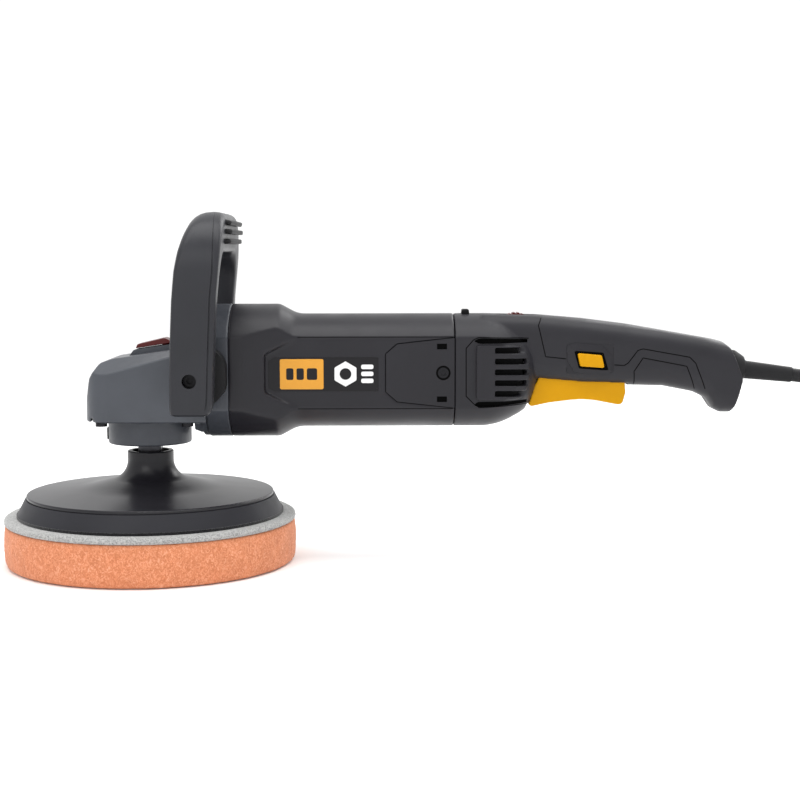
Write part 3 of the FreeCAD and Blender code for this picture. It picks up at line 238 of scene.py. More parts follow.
CHARCOAL = (0.0142, 0.0136, 0.0170)
LOOKS = {
    "pad_foam": foam("pad_foam_look"),
    "felt": felt("felt_look", (0.16, 0.16, 0.157), (0.40, 0.40, 0.392)),
    "hook": felt("hook_look", (0.001, 0.001, 0.001), (0.016, 0.016, 0.018)),
    "backing_foam": moulded("backing_foam_look", (0.015, 0.015, 0.019), 0.5, grain=0.7, depth=0.05),
    "plate_plastic": moulded("plate_plastic_look", (0.0125, 0.012, 0.015), 0.3, depth=0.006,
                             wear=0.2),
    "steel": metal("steel_look", (0.045, 0.045, 0.05), 0.36),
    "bearing_steel": metal("bearing_steel_look", (0.5, 0.5, 0.52), 0.2, brush=(1, 1, 0.2)),
    "bronze": metal("bronze_look", (0.42, 0.26, 0.11), 0.38),
    "rubber": moulded("rubber_look", (0.008, 0.008, 0.009), 0.6, grain=0.7),
    "lamination": laminated("lamination_look"),
    "copper": wound("copper_look", (0.62, 0.26, 0.11)),
    "fan_plastic": moulded("fan_plastic_look", (0.04, 0.04, 0.045), 0.45),
    "gear_case_paint": cast_paint("gear_case_paint_look", (0.056, 0.061, 0.072), 0.36),
    "cast_aluminium": cast_paint("cast_aluminium_look", (0.046, 0.050, 0.060), 0.4),
    "housing_plastic": moulded("housing_plastic_look", CHARCOAL, 0.36),
    "overmould": moulded("overmould_look", (0.0155, 0.015, 0.0185), 0.42, grain=0.6, depth=0.035),
    "bail_plastic": moulded("bail_plastic_look", (0.020, 0.0205, 0.0245), 0.36, grain=0.6),
    "black_steel": metal("black_steel_look", (0.016, 0.016, 0.017), 0.4),
    "screw_steel": metal("screw_steel_look", (0.022, 0.022, 0.024), 0.36),
    "lock_red": moulded("lock_red_look", (0.085, 0.007, 0.007), 0.32),
    "trigger_yellow": moulded("trigger_yellow_look", (0.54, 0.258, 0.0003), 0.36, grain=0.8,
                              depth=0.02, specular=0.12),
    "dial_red": moulded("dial_red_look", (0.09, 0.007, 0.007), 0.42),
    "inner_plastic": moulded("inner_plastic_look", (0.0035, 0.0035, 0.004), 0.5, specular=0.1),
    "carbon": moulded("carbon_look", (0.02, 0.02, 0.02), 0.7, grain=1.2, depth=0.06),
    "brass": metal("brass_look", (0.62, 0.42, 0.16), 0.3),
    "cord_jacket": moulded("cord_jacket_look", (0.0085, 0.0085, 0.0095), 0.46, grain=0.7),
    "plug_rubber": moulded("plug_rubber_look", (0.0095, 0.0095, 0.0105), 0.5, grain=0.7),
    "pin_metal": metal("pin_metal_look", (0.55, 0.55, 0.56), 0.2),
}
AMBER = moulded("badge_amber_look", (0.60, 0.275, 0.032), 0.4, grain=0.8, depth=0.01)
WHITE = moulded("emblem_white_look", (0.70, 0.70, 0.70), 0.35, grain=0.8, depth=0.01)
LABEL = moulded("label_look", (0.0055, 0.0050, 0.0065), 0.3, grain=0.8, depth=0.006)
# Near-black: dark joint lines, and painted shade on the vent pocket floors, round the cover screws
# and in the cover slots.
JOINT_AND_SHADE = moulded("joint_and_shade_look", (0.001, 0.001, 0.001), 0.8, specular=0.05)


def slot_of(node):
    """The record's material slot of a CAD node."""
    return next(part["material_slot"] for part in frame["record"]["subparts"]
                if part["node"] == node)


def dress(mesh, look):
    """Give a mesh one material in place of any that it has."""
    mesh.materials.clear()
    mesh.materials.append(look)


for part in frame["record"]["subparts"]:
    dress(frame["nodes"][part["node"]].data, LOOKS[part["material_slot"]])


# ---------------------------------------------------------------- pieces

def in_scene(name, data):
    """An object round a mesh, curve, lamp or camera, put in the scene."""
    item = bpy.data.objects.new(name, data)
    bpy.context.scene.collection.objects.link(item)
    return item


def riding(name, data, body):
    """An object that rides on a body."""
    piece = in_scene(name, data)
    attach(piece, body)
    return piece


def new_piece(name, mesh, slot, body="housing", smooth=True):
    """Put a finished mesh in the scene as a piece that rides on a body."""
    if not mesh.materials:
        mesh.materials.append(LOOKS[slot])
    for face in mesh.polygons:
        face.use_smooth = smooth
    return riding(name, mesh, body)


def mesh_from(name, points, faces):
    """A mesh from points in metres and the corners of each face."""
    mesh = bpy.data.meshes.new(name)
    mesh.from_pydata([tuple(point) for point in points], [], faces)
    mesh.validate()
    return mesh


def round_line(name, kind, places, diameter, smoothness=2):
    """A curve with a round section, along places in metres."""
    line = bpy.data.curves.new(name, "CURVE")
    line.dimensions = "3D"
    spline = line.splines.new(kind)
    spline.points.add(len(places) - 1)
    for point, place in zip(spline.points, places):
        point.co = (*place, 1)
    line.bevel_depth = diameter / 2
    line.bevel_resolution = smoothness
    return line


# ---------------------------------------------------------------- mesh helpers

ROUNDING_STEPS = 5
SOFT_CREASE = 50
LINE_STEP = 1.5
LINE_REACH = 60


def skin(name, sections, closed=True):
    """A tube of faces through sections with equal numbers of points, closed by flat ends."""
    count = len(sections[0])
    points = [Vector(point) * MM for section in sections for point in section]
    faces = []
    for row in range(len(sections) - 1):
        for index in range(count):
            following = (index + 1) % count
            faces.append((row * count + index, row * count + following,
                          (row + 1) * count + following, (row + 1) * count + index))
    if closed:
        faces.append(tuple(reversed(range(count))))
        faces.append(tuple(range(len(points) - count, len(points))))
    mesh = mesh_from(name, points, faces)
    shell = bmesh.new()
    shell.from_mesh(mesh)
    bmesh.ops.recalc_face_normals(shell, faces=shell.faces)
    shell.to_mesh(mesh)
    shell.free()
    return mesh


def eased(corners, index, radius, steps):
    """Points that take one corner of a closed outline round in an even bend."""
    corner = Vector(corners[index])
    back = (Vector(corners[index - 1]) - corner).normalized() * radius
    ahead = (Vector(corners[(index + 1) % len(corners)]) - corner).normalized() * radius
    parts = [step / steps for step in range(steps + 1)]
    return [corner + back * (1 - part) ** 2 + ahead * part ** 2 for part in parts]


def rounded(corners, radii):
    """A closed outline whose corners are rounded, as 2-D points."""
    return [point for index, radius in enumerate(radii)
            for point in eased(corners, index, radius, ROUNDING_STEPS)]


def rectangle(left, right, low, high):
    """Corners of an upright rectangle of (x, z)."""
    return [(left, low), (right, low), (right, high), (left, high)]


def table_value(table, place):
    """Straight-line reading between the rows of a table."""
    for (low, first), (high, second) in zip(table, table[1:]):
        if place <= high:
            return first + (second - first) * (place - low) / (high - low)
    return table[-1][1]


def bake(piece, recesses=()):
    """Cut closed recesses into a piece and apply all its modifiers to its mesh."""
    borers = []
    for index, sections in enumerate(recesses):
        borer = in_scene(f"borer_{index}", skin(f"borer_{index}", sections))
        cutter = piece.modifiers.new(f"pocket_{index}", "BOOLEAN")
        cutter.object = borer
        cutter.solver = "EXACT"
        borers.append(borer)
    graph = bpy.context.evaluated_depsgraph_get()
    mesh = bpy.data.meshes.new_from_object(piece.evaluated_get(graph))
    piece.modifiers.clear()
    piece.data = mesh
    for face in mesh.polygons:
        face.use_smooth = True
    for borer in borers:
        bpy.data.objects.remove(borer)


def crease(piece, angle):
    """Keep edges sharper than an angle in degrees crisp on a smooth piece."""
    edges = piece.modifiers.new("edges", "EDGE_SPLIT")
    edges.split_angle = math.radians(angle)


def soften(name, node, voxel, rounds, body="housing", recesses=()):
    """A CAD shape rebuilt with small moulded radii along its edges, and recesses cut into it."""
    mesh = frame["nodes"][node].data.copy()
    slot = slot_of(node)
    piece = new_piece(name, mesh, slot, body)
    grid = piece.modifiers.new("grid", "REMESH")
    grid.mode = "VOXEL"
    grid.voxel_size = voxel * MM
    ease = piece.modifiers.new("ease", "SMOOTH")
    ease.factor = 0.5
    ease.iterations = rounds
    bake(piece, recesses)
    crease(piece, SOFT_CREASE)
    dress(piece.data, LOOKS[slot])
    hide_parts(node)
    return piece


def trim(name, outline, thickness, place, slot, look=None, bevel=0.4):
    """A thin plate with eased edges: an outline of (x, z) standing at a (side, depth)."""
    side, depth = place
    middle = sum((Vector(point) for point in outline), Vector((0, 0))) / len(outline)
    sections = []
    for offset, inset in ((0, 0), (thickness - bevel, 0), (thickness, bevel)):
        shrunk = [middle + (Vector(point) - middle) * (1 - inset / (Vector(point) - middle).length)
                  for point in outline]
        sections.append([(point.x, side * (depth + offset), point.y) for point in shrunk])
    mesh = skin(name, sections)
    mesh.materials.append(look or LOOKS[slot])
    return new_piece(name, mesh, slot, smooth=False)


def line_on(name, points, surface, side, width):
    """A fine dark joint line laid into a side surface along (x, z) points."""
    graph = bpy.context.evaluated_depsgraph_get()
    tree = BVHTree.FromObject(surface, graph)
    corners = [Vector(point) for point in points]
    places = []
    for start, end in zip(corners, corners[1:]):
        count = max(2, int((end - start).length / LINE_STEP))
        places += [start.lerp(end, index / count) for index in range(count)]
    places.append(corners[-1])
    found = []
    for place in places:
        origin = Vector((place.x, side * LINE_REACH, place.y)) * MM
        hit = tree.ray_cast(origin, Vector((0, -side, 0)), LINE_REACH * MM)[0]
        if hit:
            found.append(hit)
    line = round_line(name, "POLY", found, width * MM)
    line.materials.append(JOINT_AND_SHADE)
    riding(name, line, "housing")


# ---------------------------------------------------------------- mains cord

CORD_DIAMETER = 0.0084
ROUTE = [(398, 0, 114.83), (433, 0, 110.9), (474, 0, 92), (513, -3, 54), (543, -2, 24),
         (560.5, 34, 4.2)]
COIL_CENTRE = Vector((494.5, 60))
COIL_RADIUS = 66.0
COIL_PITCH = 8.6
COIL_LAYER = 8.5
COIL_END = 2700
COIL_RISE = 120
COIL_STEP = 20
TAIL = [(428.5, 30, 12.8), (428.5, 4, 11.5), (428.5, -14, 11.5)]


def coil_point(angle):
    """Spiral in on the floor, step up, and spiral out on top of the first layer."""
    halfway = (COIL_END - COIL_RISE) / 2
    turned = min(angle, halfway, COIL_END - angle)
    lift = min(max((angle - halfway) / COIL_RISE, 0), 1)
    lift = lift * lift * (3 - 2 * lift)
    radius = COIL_RADIUS - COIL_PITCH * turned / 360
    reach = radius / math.cos(math.radians(COIL_STEP / 2))
    turn = math.radians(angle)
    return (COIL_CENTRE.x + reach * math.cos(turn), COIL_CENTRE.y + reach * math.sin(turn),
            CORD_DIAMETER / MM / 2 + COIL_LAYER * lift)


def make_cord():
    """Mains cord: from the boot to the floor, into its coil and out to the plug."""
    angles = range(COIL_STEP // 2, COIL_END, COIL_STEP)
    points = ROUTE + [coil_point(angle) for angle in angles] + TAIL
    places = [[part * MM for part in point] for point in points]
    line = round_line("mains_cord", "NURBS", places, CORD_DIAMETER, smoothness=5)
    spline = line.splines[0]
    spline.order_u = 3
    spline.use_endpoint_u = True
    line.resolution_u = 6
    line.use_fill_caps = True
    line.materials.append(LOOKS["cord_jacket"])
    cord = riding("mains_cord", line, "housing")
    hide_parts("power_cord", "cord_coil")
    plug = [soften("plug_shell", "plug_body", voxel=0.8, rounds=7), frame["nodes"]["plug_pins"]]


make_cord()
soften("cord_boot", "cable_boot", voxel=0.6, rounds=3)


# ---------------------------------------------------------------- pad

DISC_TURNS = 360
WALL_STEPS = 14
WALL_RADIUS = 88.4
WALL_BELLY = 1.1
WALL_FOOT = 2.2
WALL_GAP = 0.4
CORE_RADII = (40, 70)
FOAM_EDGE = ((84.5, 0.05), (86.9, 0.6), (88.2, 1.5))
TOP_RADIUS = 87.6


def wobble(point, size, depth):
    """Smooth noise in metres, for blobs of a size and depth in millimetres."""
    return noise.noise(point / (size * MM)) * depth * MM


def disc(name, outline, rough, size, slot):
    """A turned disc from (radius, height) points whose skin is roughened by noise."""
    points = []
    for index in range(DISC_TURNS):
        angle = math.tau * index / DISC_TURNS
        outward = Vector((math.cos(angle), math.sin(angle), 0))
        for radius, height in outline:
            place = Vector((radius * math.cos(angle), radius * math.sin(angle), height)) * MM
            points.append(place + outward * wobble(place, size, rough))
    count = len(outline)
    faces = []
    for index in range(DISC_TURNS):
        following = (index + 1) % DISC_TURNS
        for row in range(count - 1):
            faces.append((index * count + row, following * count + row,
                          following * count + row + 1, index * count + row + 1))
    faces.append(tuple(reversed([index * count for index in range(DISC_TURNS)])))
    faces.append(tuple(index * count + count - 1 for index in range(DISC_TURNS)))
    return new_piece(name, mesh_from(name, points, faces), slot, "spindle_group")


def make_pad():
    """Foam disc, cut by wire: its wall bellies out a little and its lower edge is rounded."""
    low, high = (corner.z / MM for corner in map(Vector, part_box("polishing_pad")))
    wall = []
    for step in range(WALL_STEPS + 1):
        part = step / WALL_STEPS
        wall.append((WALL_RADIUS + WALL_BELLY * math.sin(math.pi * part) ** 0.5,
                     low + WALL_FOOT + (high - low - WALL_FOOT - WALL_GAP) * part))
    under = [(radius, low) for radius in CORE_RADII]
    under += [(radius, low + rise) for radius, rise in FOAM_EDGE]
    over = [(TOP_RADIUS, high)] + [(radius, high) for radius in reversed(CORE_RADII)]
    outline = under + wall + over
    foam_disc = disc("foam_pad", outline, rough=0.45, size=3.0, slot="pad_foam")
    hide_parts("polishing_pad")
    low, high = (corner.z / MM for corner in map(Vector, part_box("pad_felt_layer")))
    edge = [(88.0, low + 0.02), (89.2, low + 0.6), (89.4, (low + high) / 2), (89.0, high - 0.8),
            (TOP_RADIUS, high)]
    outline = [(CORE_RADII[0], low)] + edge + [(radius, high) for radius in reversed(CORE_RADII)]
    loops = disc("loop_layer", outline, rough=0.5, size=1.1, slot="felt")
    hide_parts("pad_felt_layer")


make_pad()


# ---------------------------------------------------------------- loop handle

BAIL_FRONT = [(95, 21.4), (99, 20.2), (118, 20.4), (140, 21.0), (163, 22.1), (180, 23.7),
              (194, 26.2), (204, 28.9), (215, 32.6)]
BAIL_REAR = [(95, 41.4), (100.5, 45.2), (140, 46.9), (163, 47.9), (190, 50.6), (215, 52.4)]
LEG_OUTER, LEG_INNER = 61.9, 48.1
BAIL_TOP, BAIL_UNDER = 214.9, 191.1
OUTER_BEND, INNER_BEND = 34, 16
BEND_STEPS = 12
FOOT = 96.1
FOOT_INSET = 1.6
LEG_PARTS = (0, 0.012, 0.04, 0.09, 0.13, 0.2, 0.3, 0.4, 0.5, 0.6, 0.7, 0.8, 0.9, 1)
BAR_PARTS = (0.35, 0.7, 1)
LEG_RADII = (3.2, 2.4, 4.0, 4.0)
BAR_RADII = (11.2, 7.6, 4.0, 4.0)
CORNER_STEPS = 6
GROOVE_START = 103.1
GROOVE_DEPTH = 0.7
GROOVE_PROFILE = ((0.5, 0), (0.93, 0), (0.94, 1), (0.965, 1), (0.975, 0))
BOLT_PLACE = (32, 116.5)
BOLT_HOLE = 4.2
BOLT_STEPS = 32
BOLT_REACH = 70
BAIL_CREASE = 38


def bail_stations():
    """Outer and inner (y, z) points from foot to crossbar, with a part that goes from 0 to 1."""
    outer_bend, inner_bend = BAIL_TOP - OUTER_BEND, BAIL_UNDER - INNER_BEND
    stations = []
    for part in LEG_PARTS:
        stations.append(((-LEG_OUTER, FOOT + (outer_bend - FOOT) * part),
                         (-LEG_INNER, FOOT + (inner_bend - FOOT) * part), 0))
    for step in range(1, BEND_STEPS + 1):
        turn = math.pi / 2 * step / BEND_STEPS
        across, up = math.cos(turn), math.sin(turn)
        stations.append(((-LEG_OUTER + OUTER_BEND * (1 - across), outer_bend + OUTER_BEND * up),
                         (-LEG_INNER + INNER_BEND * (1 - across), inner_bend + INNER_BEND * up),
                         step / BEND_STEPS))
    for part in BAR_PARTS:
        stations.append((((OUTER_BEND - LEG_OUTER) * (1 - part), BAIL_TOP),
                         ((INNER_BEND - LEG_INNER) * (1 - part), BAIL_UNDER), 1))
    return stations


def bail_section(outer, inner, part, inset):
    """One slice: a rounded quadrilateral with a joint line near its rear edge."""
    corners = []
    for (y, z), ends in ((outer, (BAIL_FRONT, BAIL_REAR)), (inner, (BAIL_REAR, BAIL_FRONT))):
        for table in ends:
            corners.append(Vector((table_value(table, z), y, z)))
    middle = sum(corners, Vector()) / len(corners)
    corners = [corner + (middle - corner).normalized() * inset for corner in corners]
    depth = (corners[3] - corners[0]).normalized()
    radii = [leg + (bar - leg) * part for leg, bar in zip(LEG_RADII, BAR_RADII)]
    slices = []
    for index, radius in enumerate(radii):
        slices += eased(corners, index, radius, CORNER_STEPS)
        if index == 0:
            groove = GROOVE_DEPTH * (1 - part) if outer[1] > GROOVE_START else 0
            across = (corners[1] - corners[0]).normalized()
            flat = (corners[1] - corners[0]).length - radii[0] - radii[1]
            for share, sink in GROOVE_PROFILE:
                slices.append(corners[0] + across * (radius + flat * share) + depth * sink * groove)
    return slices


def make_bail():
    """Loop handle: a leg and half of the crossbar, mirrored, with a bolt hole through both legs."""
    half = [bail_section(outer, inner, part, FOOT_INSET if row == 0 else 0)
            for row, (outer, inner, part) in enumerate(bail_stations())]
    other = [[Vector((point.x, -point.y, point.z)) for point in section]
             for section in half[-2::-1]]
    bail = new_piece("bail_loop", skin("bail_loop", half + other), "bail_plastic")
    turns = [math.tau * step / BOLT_STEPS for step in range(BOLT_STEPS)]
    x, z = BOLT_PLACE
    hole = [[(x + BOLT_HOLE * math.cos(turn), y, z + BOLT_HOLE * math.sin(turn)) for turn in turns]
            for y in (-BOLT_REACH, BOLT_REACH)]
    bake(bail, [hole])
    crease(bail, BAIL_CREASE)
    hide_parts("bail_handle")


FINS = ((51.0, 209.0, 14), (51.4, 203.3, 4), (50.6, 197.3, -4))
FIN_OUTLINE = rounded([(-5, -1.6), (4.3, -1.4), (4.3, 1.4), (-5, 1.6)], [0.8, 1, 1, 0.8])
FIN_ENDS = ((-36, 0.55), (-35, 0.9), (-33, 1), (33, 1), (35, 0.9), (36, 0.55))


def make_fins():
    """Three grip fins along the rear of the crossbar."""
    for index, (x, z, tilt) in enumerate(FINS):
        turn = math.radians(-tilt)
        sections = [[(x + share * (p.x * math.cos(turn) - p.y * math.sin(turn)), y,
                      z + share * (p.x * math.sin(turn) + p.y * math.cos(turn)))
                     for p in FIN_OUTLINE] for y, share in FIN_ENDS]
        new_piece(f"grip_fin_{index + 1}", skin(f"grip_fin_{index + 1}", sections), "rubber")


make_bail()
make_fins()


# ---------------------------------------------------------------- housings

SEAM_UPPER = [(241.3, 152.5), (238.7, 146.4), (243.1, 127.6), (255.4, 126.3)]
SEAM_MIDDLE = [(283.6, 122.6), (291.0, 122.1), (293.4, 123.6), (299.3, 131.3), (302.4, 132.2),
               (331.1, 127.0), (334.8, 123.4), (341.2, 107.5)]
SEAM_LOWER = [(298.0, 110.6), (297.1, 118.5), (302.5, 126.7), (329.4, 121.5), (335.1, 107.5)]
COVER_EDGE = [(187.2, -21.2), (152.8, -17.4), (146, -11.4), (146, 11.4), (152.8, 17.4),
              (187.2, 21.2)]
MOTOR_HEIGHT = 118.6
PANEL_EDGE = 21.6
PANEL_START, PANEL_END = 93.1, 186.6
VENT_EDGE = [(194.3, 133.3), (198.7, 138.4), (201.9, 139.9), (232.7, 138.9)]
VENT_BACK = [(194.3, 133.3), (194.4, 104.4), (199.0, 99.8), (202.2, 97.5), (231.8, 98.9)]
UPPER_SLOT = [(199.4, 137.4, 137.9), (202.1, 136.0, 139.4), (214, 136.1, 139.1),
              (232, 136.3, 138.4)]
LOWER_SLOT = [(199.3, 98.9, 99.5), (201.4, 97.7, 101.0), (213, 98.2, 101.1), (232, 99.6, 101.7)]
VENT_SLOTS = (UPPER_SLOT, LOWER_SLOT)
VENT_SINK = 1.7
SHADOW_DEPTH = 0.3
BORER_REACH = 9
SLOT_STEPS = 14
VENT_SCREEN = [(207, 101), (229, 103), (229, 134), (207, 136)]
SCREEN_DEPTH = 20.5
SCREEN_THICKNESS = 1.2
DOME = [(187, 34.8), (203, 34.8), (210, 34.2), (216, 32.6), (222, 29.9), (228, 27.0), (232, 24.6),
        (236, 20), (240, 11), (243, 1)]
SIDE_FLAT = 27.4
GRIP_LINES = {"upper": SEAM_UPPER, "middle": SEAM_MIDDLE, "lower": SEAM_LOWER,
              "vent_top": VENT_EDGE, "vent_back": VENT_BACK}


def dome_side(x, z):
    """Half width of the domed rear cap at a place on its side."""
    rise = z - MOTOR_HEIGHT
    return min(SIDE_FLAT, math.sqrt(max(table_value(DOME, x) ** 2 - rise ** 2, 1)))


def slot_sections(rows, side, low, high):
    """Slices of a slot that follows the dome, from (x, lowest z, highest z) rows."""
    under = [(row[0], row[1]) for row in rows]
    over = [(row[0], row[2]) for row in rows]
    sections = []
    for index in range(SLOT_STEPS + 1):
        x = rows[0][0] + (rows[-1][0] - rows[0][0]) * index / SLOT_STEPS
        bottom, top = table_value(under, x), table_value(over, x)
        depth = dome_side(x, (bottom + top) / 2)
        sections.append([(x, side * (depth + low), bottom), (x, side * (depth + high), bottom),
                         (x, side * (depth + high), top), (x, side * (depth + low), top)])
    return sections


def make_louvres():
    """The louvres bend in with the dome, so that none stands off its surface."""
    louvres = soften("vent_louvres", "vent_grilles", voxel=0.45, rounds=2)
    for vertex in louvres.data.vertices:
        x, z = vertex.co.x / MM, vertex.co.z / MM
        drop = (SIDE_FLAT - dome_side(x, z)) * MM
        vertex.co.y -= math.copysign(drop, vertex.co.y)


def make_housings():
    """Motor barrel, gear head, plates and the two grip halves, with their vents and joint lines."""
    barrel = soften("motor_barrel", "motor_housing", voxel=0.9, rounds=4)
    soften("gear_head", "gear_housing", voxel=0.8, rounds=3)
    soften("bearing_carrier", "bearing_retainer", voxel=0.7, rounds=2)
    soften("middle_plate", "mid_flange", voxel=0.7, rounds=2)
    make_louvres()
    for side, word in SIDES:
        pockets = [slot_sections(rows, side, -VENT_SINK, BORER_REACH) for rows in VENT_SLOTS]
        half = soften(f"grip_{word}", f"rear_housing_{word}", voxel=0.8, rounds=5,
                      recesses=pockets)
        for index, rows in enumerate(VENT_SLOTS):
            name = f"vent_shadow_{word}_{index}"
            shadow = skin(name, slot_sections(rows, side, -VENT_SINK, SHADOW_DEPTH - VENT_SINK))
            shadow.materials.append(JOINT_AND_SHADE)
            new_piece(name, shadow, "inner_plastic", smooth=False)
        trim(f"vent_screen_{word}", VENT_SCREEN, SCREEN_THICKNESS, (side, SCREEN_DEPTH),
             "inner_plastic")
        for line, points in GRIP_LINES.items():
            line_on(f"grip_line_{line}_{word}", points, half, side, width=0.55)
        edge = [(x, MOTOR_HEIGHT + rise) for x, rise in COVER_EDGE]
        line_on(f"cover_line_{word}", edge, barrel, side, width=0.6)
        for sign in (-1, 1):
            height = MOTOR_HEIGHT + sign * PANEL_EDGE
            line_on(f"panel_line_{word}_{sign + 1}", [(PANEL_START, height), (PANEL_END, height)],
                    barrel, side, width=0.4)


make_housings()


# ---------------------------------------------------------------- lock-on button and lock spring

LOCK_CENTRE = (270.2, 125.4)
LOCK_OUTER = [(256.0, 134.6), (261.5, 136.1), (277.4, 134.6), (283.2, 128.2), (283.3, 118.0),
              (277.6, 116.3), (260.6, 118.2), (256.2, 125.8)]
LOCK_SEAT = rectangle(256.2, 284.2, 117.4, 135.2)
LOCK_BORDER = [(260.2, 131.3), (278.0, 130.1), (281.2, 119.2), (263.2, 120.5)]
LOCK_BASE = 17.4
SEAT_DEPTHS = (17.0, 18.45)
OUTER_FACE, INNER_FACE = 18.9, 20.0
BORDER_FACE, MOUTH_FACE = 20.3, 20.1
BUTTON_FACE = -20.5
BUTTON_GAP = 0.4
SMALL = 1e-6


def outline_reach(outline, centre, way):
    """Distance from a centre to a closed outline in one direction."""
    best = 0.0
    for start, end in zip(outline, outline[1:] + outline[:1]):
        start, end = Vector(start) - Vector(centre), Vector(end) - Vector(centre)
        span = end - start
        across = way.x * span.y - way.y * span.x
        if abs(across) < SMALL:
            continue
        reach = (start.x * span.y - start.y * span.x) / across
        share = (start.x * way.y - start.y * way.x) / across
        if reach > 0 and -SMALL <= share <= 1 + SMALL:
            best = max(best, reach)
    return best


def rim_piece(name, outer, inner, look=None):
    """A rim on the near side between two (outline, (base depth, face depth)) edges."""
    sections = []
    for step in range(RING_STEPS + 1):
        angle = math.tau * step / RING_STEPS
        way = Vector((math.cos(angle), math.sin(angle)))
        section = []
        for (outline, depths), ends in ((inner, (0, 1)), (outer, (1, 0))):
            place = Vector(LOCK_CENTRE) + way * outline_reach(outline, LOCK_CENTRE, way)
            section += [(place.x, -depths[end], place.y) for end in ends]
        sections.append(section)
    mesh = skin(name, sections, closed=False)
    slot = "housing_plastic"
    if look:
        mesh.materials.append(look)
        slot = "inner_plastic"
    return new_piece(name, mesh, slot, smooth=False)


def convex(points):
    """Convex outline round flat points, in order."""
    points = sorted(set(points))
    chains = []
    for run in (points, points[::-1]):
        chain = []
        for point in run:
            while len(chain) > 1 and turn_of(chain[-2], chain[-1], point) <= 0:
                chain.pop()
            chain.append(point)
        chains += chain[:-1]
    return chains


def turn_of(first, second, third):
    """Above zero where three flat points turn to the left."""
    return ((second[0] - first[0]) * (third[1] - first[1])
            - (second[1] - first[1]) * (third[0] - first[0]))


def make_lock_frame():
    """Raised rim round the lock-on button, with a black border inside it."""
    button = [(vertex.co.x / MM, vertex.co.z / MM)
              for vertex in frame["nodes"]["lock_on_button"].data.vertices
              if vertex.co.y < BUTTON_FACE * MM]
    middle = Vector(LOCK_CENTRE)
    mouth = []
    for point in convex(button):
        away = Vector(point) - middle
        mouth.append(tuple(middle + away * (1 + BUTTON_GAP / away.length)))
    rim_piece("lock_on_seat", (LOCK_SEAT, SEAT_DEPTHS), (LOCK_BORDER, SEAT_DEPTHS))
    rim = rim_piece("lock_on_frame", (LOCK_OUTER, (LOCK_BASE, OUTER_FACE)),
                    (LOCK_BORDER, (LOCK_BASE, INNER_FACE)))
    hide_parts("lock_on_bezel")
    rim_piece("lock_on_border", (LOCK_BORDER, (LOCK_BASE, BORDER_FACE)),
              (mouth, (LOCK_BASE, MOUTH_FACE)), JOINT_AND_SHADE)


SPRING_TURNS = 3.5
SPRING_STEPS = 20
SPRING_WIRE = 0.6


def make_lock_spring():
    """Coil spring under the lock button."""
    low, high = map(Vector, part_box("spindle_lock_spring"))
    middle = (low + high) / 2
    wire = SPRING_WIRE * MM
    radius = (high.x - low.x - wire) / 2
    count = int(SPRING_TURNS * SPRING_STEPS)
    places = []
    for step in range(count + 1):
        turn = math.tau * step / SPRING_STEPS
        places.append((middle.x + radius * math.cos(turn), middle.y + radius * math.sin(turn),
                       low.z + wire / 2 + (high.z - low.z - wire) * step / count))
    coil = round_line("lock_spring_line", "POLY", places, wire)
    coil.use_fill_caps = True
    shape = bpy.data.objects.new("lock_spring_shape", coil)
    spring = new_piece("lock_spring", bpy.data.meshes.new_from_object(shape), "steel")
    bpy.data.objects.remove(shape)
    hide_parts("spindle_lock_spring")
    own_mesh(spring)


make_lock_spring()
make_lock_frame()


# ---------------------------------------------------------------- covers, badge and emblem

COVER_SCREW = (180.6, 118.6)
COVER_SLOTS = (-15.9, 15.9)
COVER_SLOT_ENDS = (176.6, 183.0)
COVER_SLOT_RISE = 1.9
COVER_SLOT_DEPTH, COVER_SLOT_FLOOR = 26.6, 0.5


def ring_mesh(name, centre, outer, inner, depth, thickness, side, count=RING_STEPS):
    """A flat washer standing on a side face, or with a count of 6 a hexagon with a round hole."""
    sections = []
    for step in range(RING_STEPS + 1):
        angle = math.tau * step / RING_STEPS
        corner = math.pi / count
        reach = outer * math.cos(corner) / math.cos((angle + corner) % (2 * corner) - corner)
        cross = [(inner, 0), (inner, thickness), (reach, thickness), (reach, 0)]
        sections.append([(centre[0] + radius * math.cos(angle), side * (depth + lift),
                          centre[1] + radius * math.sin(angle)) for radius, lift in cross])
    return skin(name, sections, closed=False)


def make_cover_details():
    """Painted shade: near-black rings round the cover screws and near-black floors in the cover's
    slots.
    """
    for side, word in SIDES:
        # A near-black ring round each screw head: painted shade in the screw's hole.
        screw_shade = ring_mesh(f"cover_screw_shade_{word}", COVER_SCREW, outer=4.35, inner=3.3, depth=27.0,
                         thickness=0.95, side=side)
        screw_shade.materials.append(JOINT_AND_SHADE)
        new_piece(f"cover_screw_shade_{word}", screw_shade, "inner_plastic", smooth=False)
        for index, rise in enumerate(COVER_SLOTS):
            height = COVER_SCREW[1] + rise
            outline = rectangle(*COVER_SLOT_ENDS, height - COVER_SLOT_RISE,
                                height + COVER_SLOT_RISE)
            # Near-black floor in each slot: painted shade in the slot.
            trim(f"cover_slot_shade_{word}_{index}", outline, COVER_SLOT_FLOOR,
                 (side, COVER_SLOT_DEPTH), "inner_plastic", JOINT_AND_SHADE, bevel=0.1)


make_cover_details()
soften("trigger_paddle", "trigger", voxel=0.55, rounds=9, body="trigger_body")
soften("lock_button", "spindle_lock_button", voxel=0.3, rounds=4, body="lock_button_body")
soften("lock_on_key", "lock_on_button", voxel=0.4, rounds=2, body="lock_on_body")

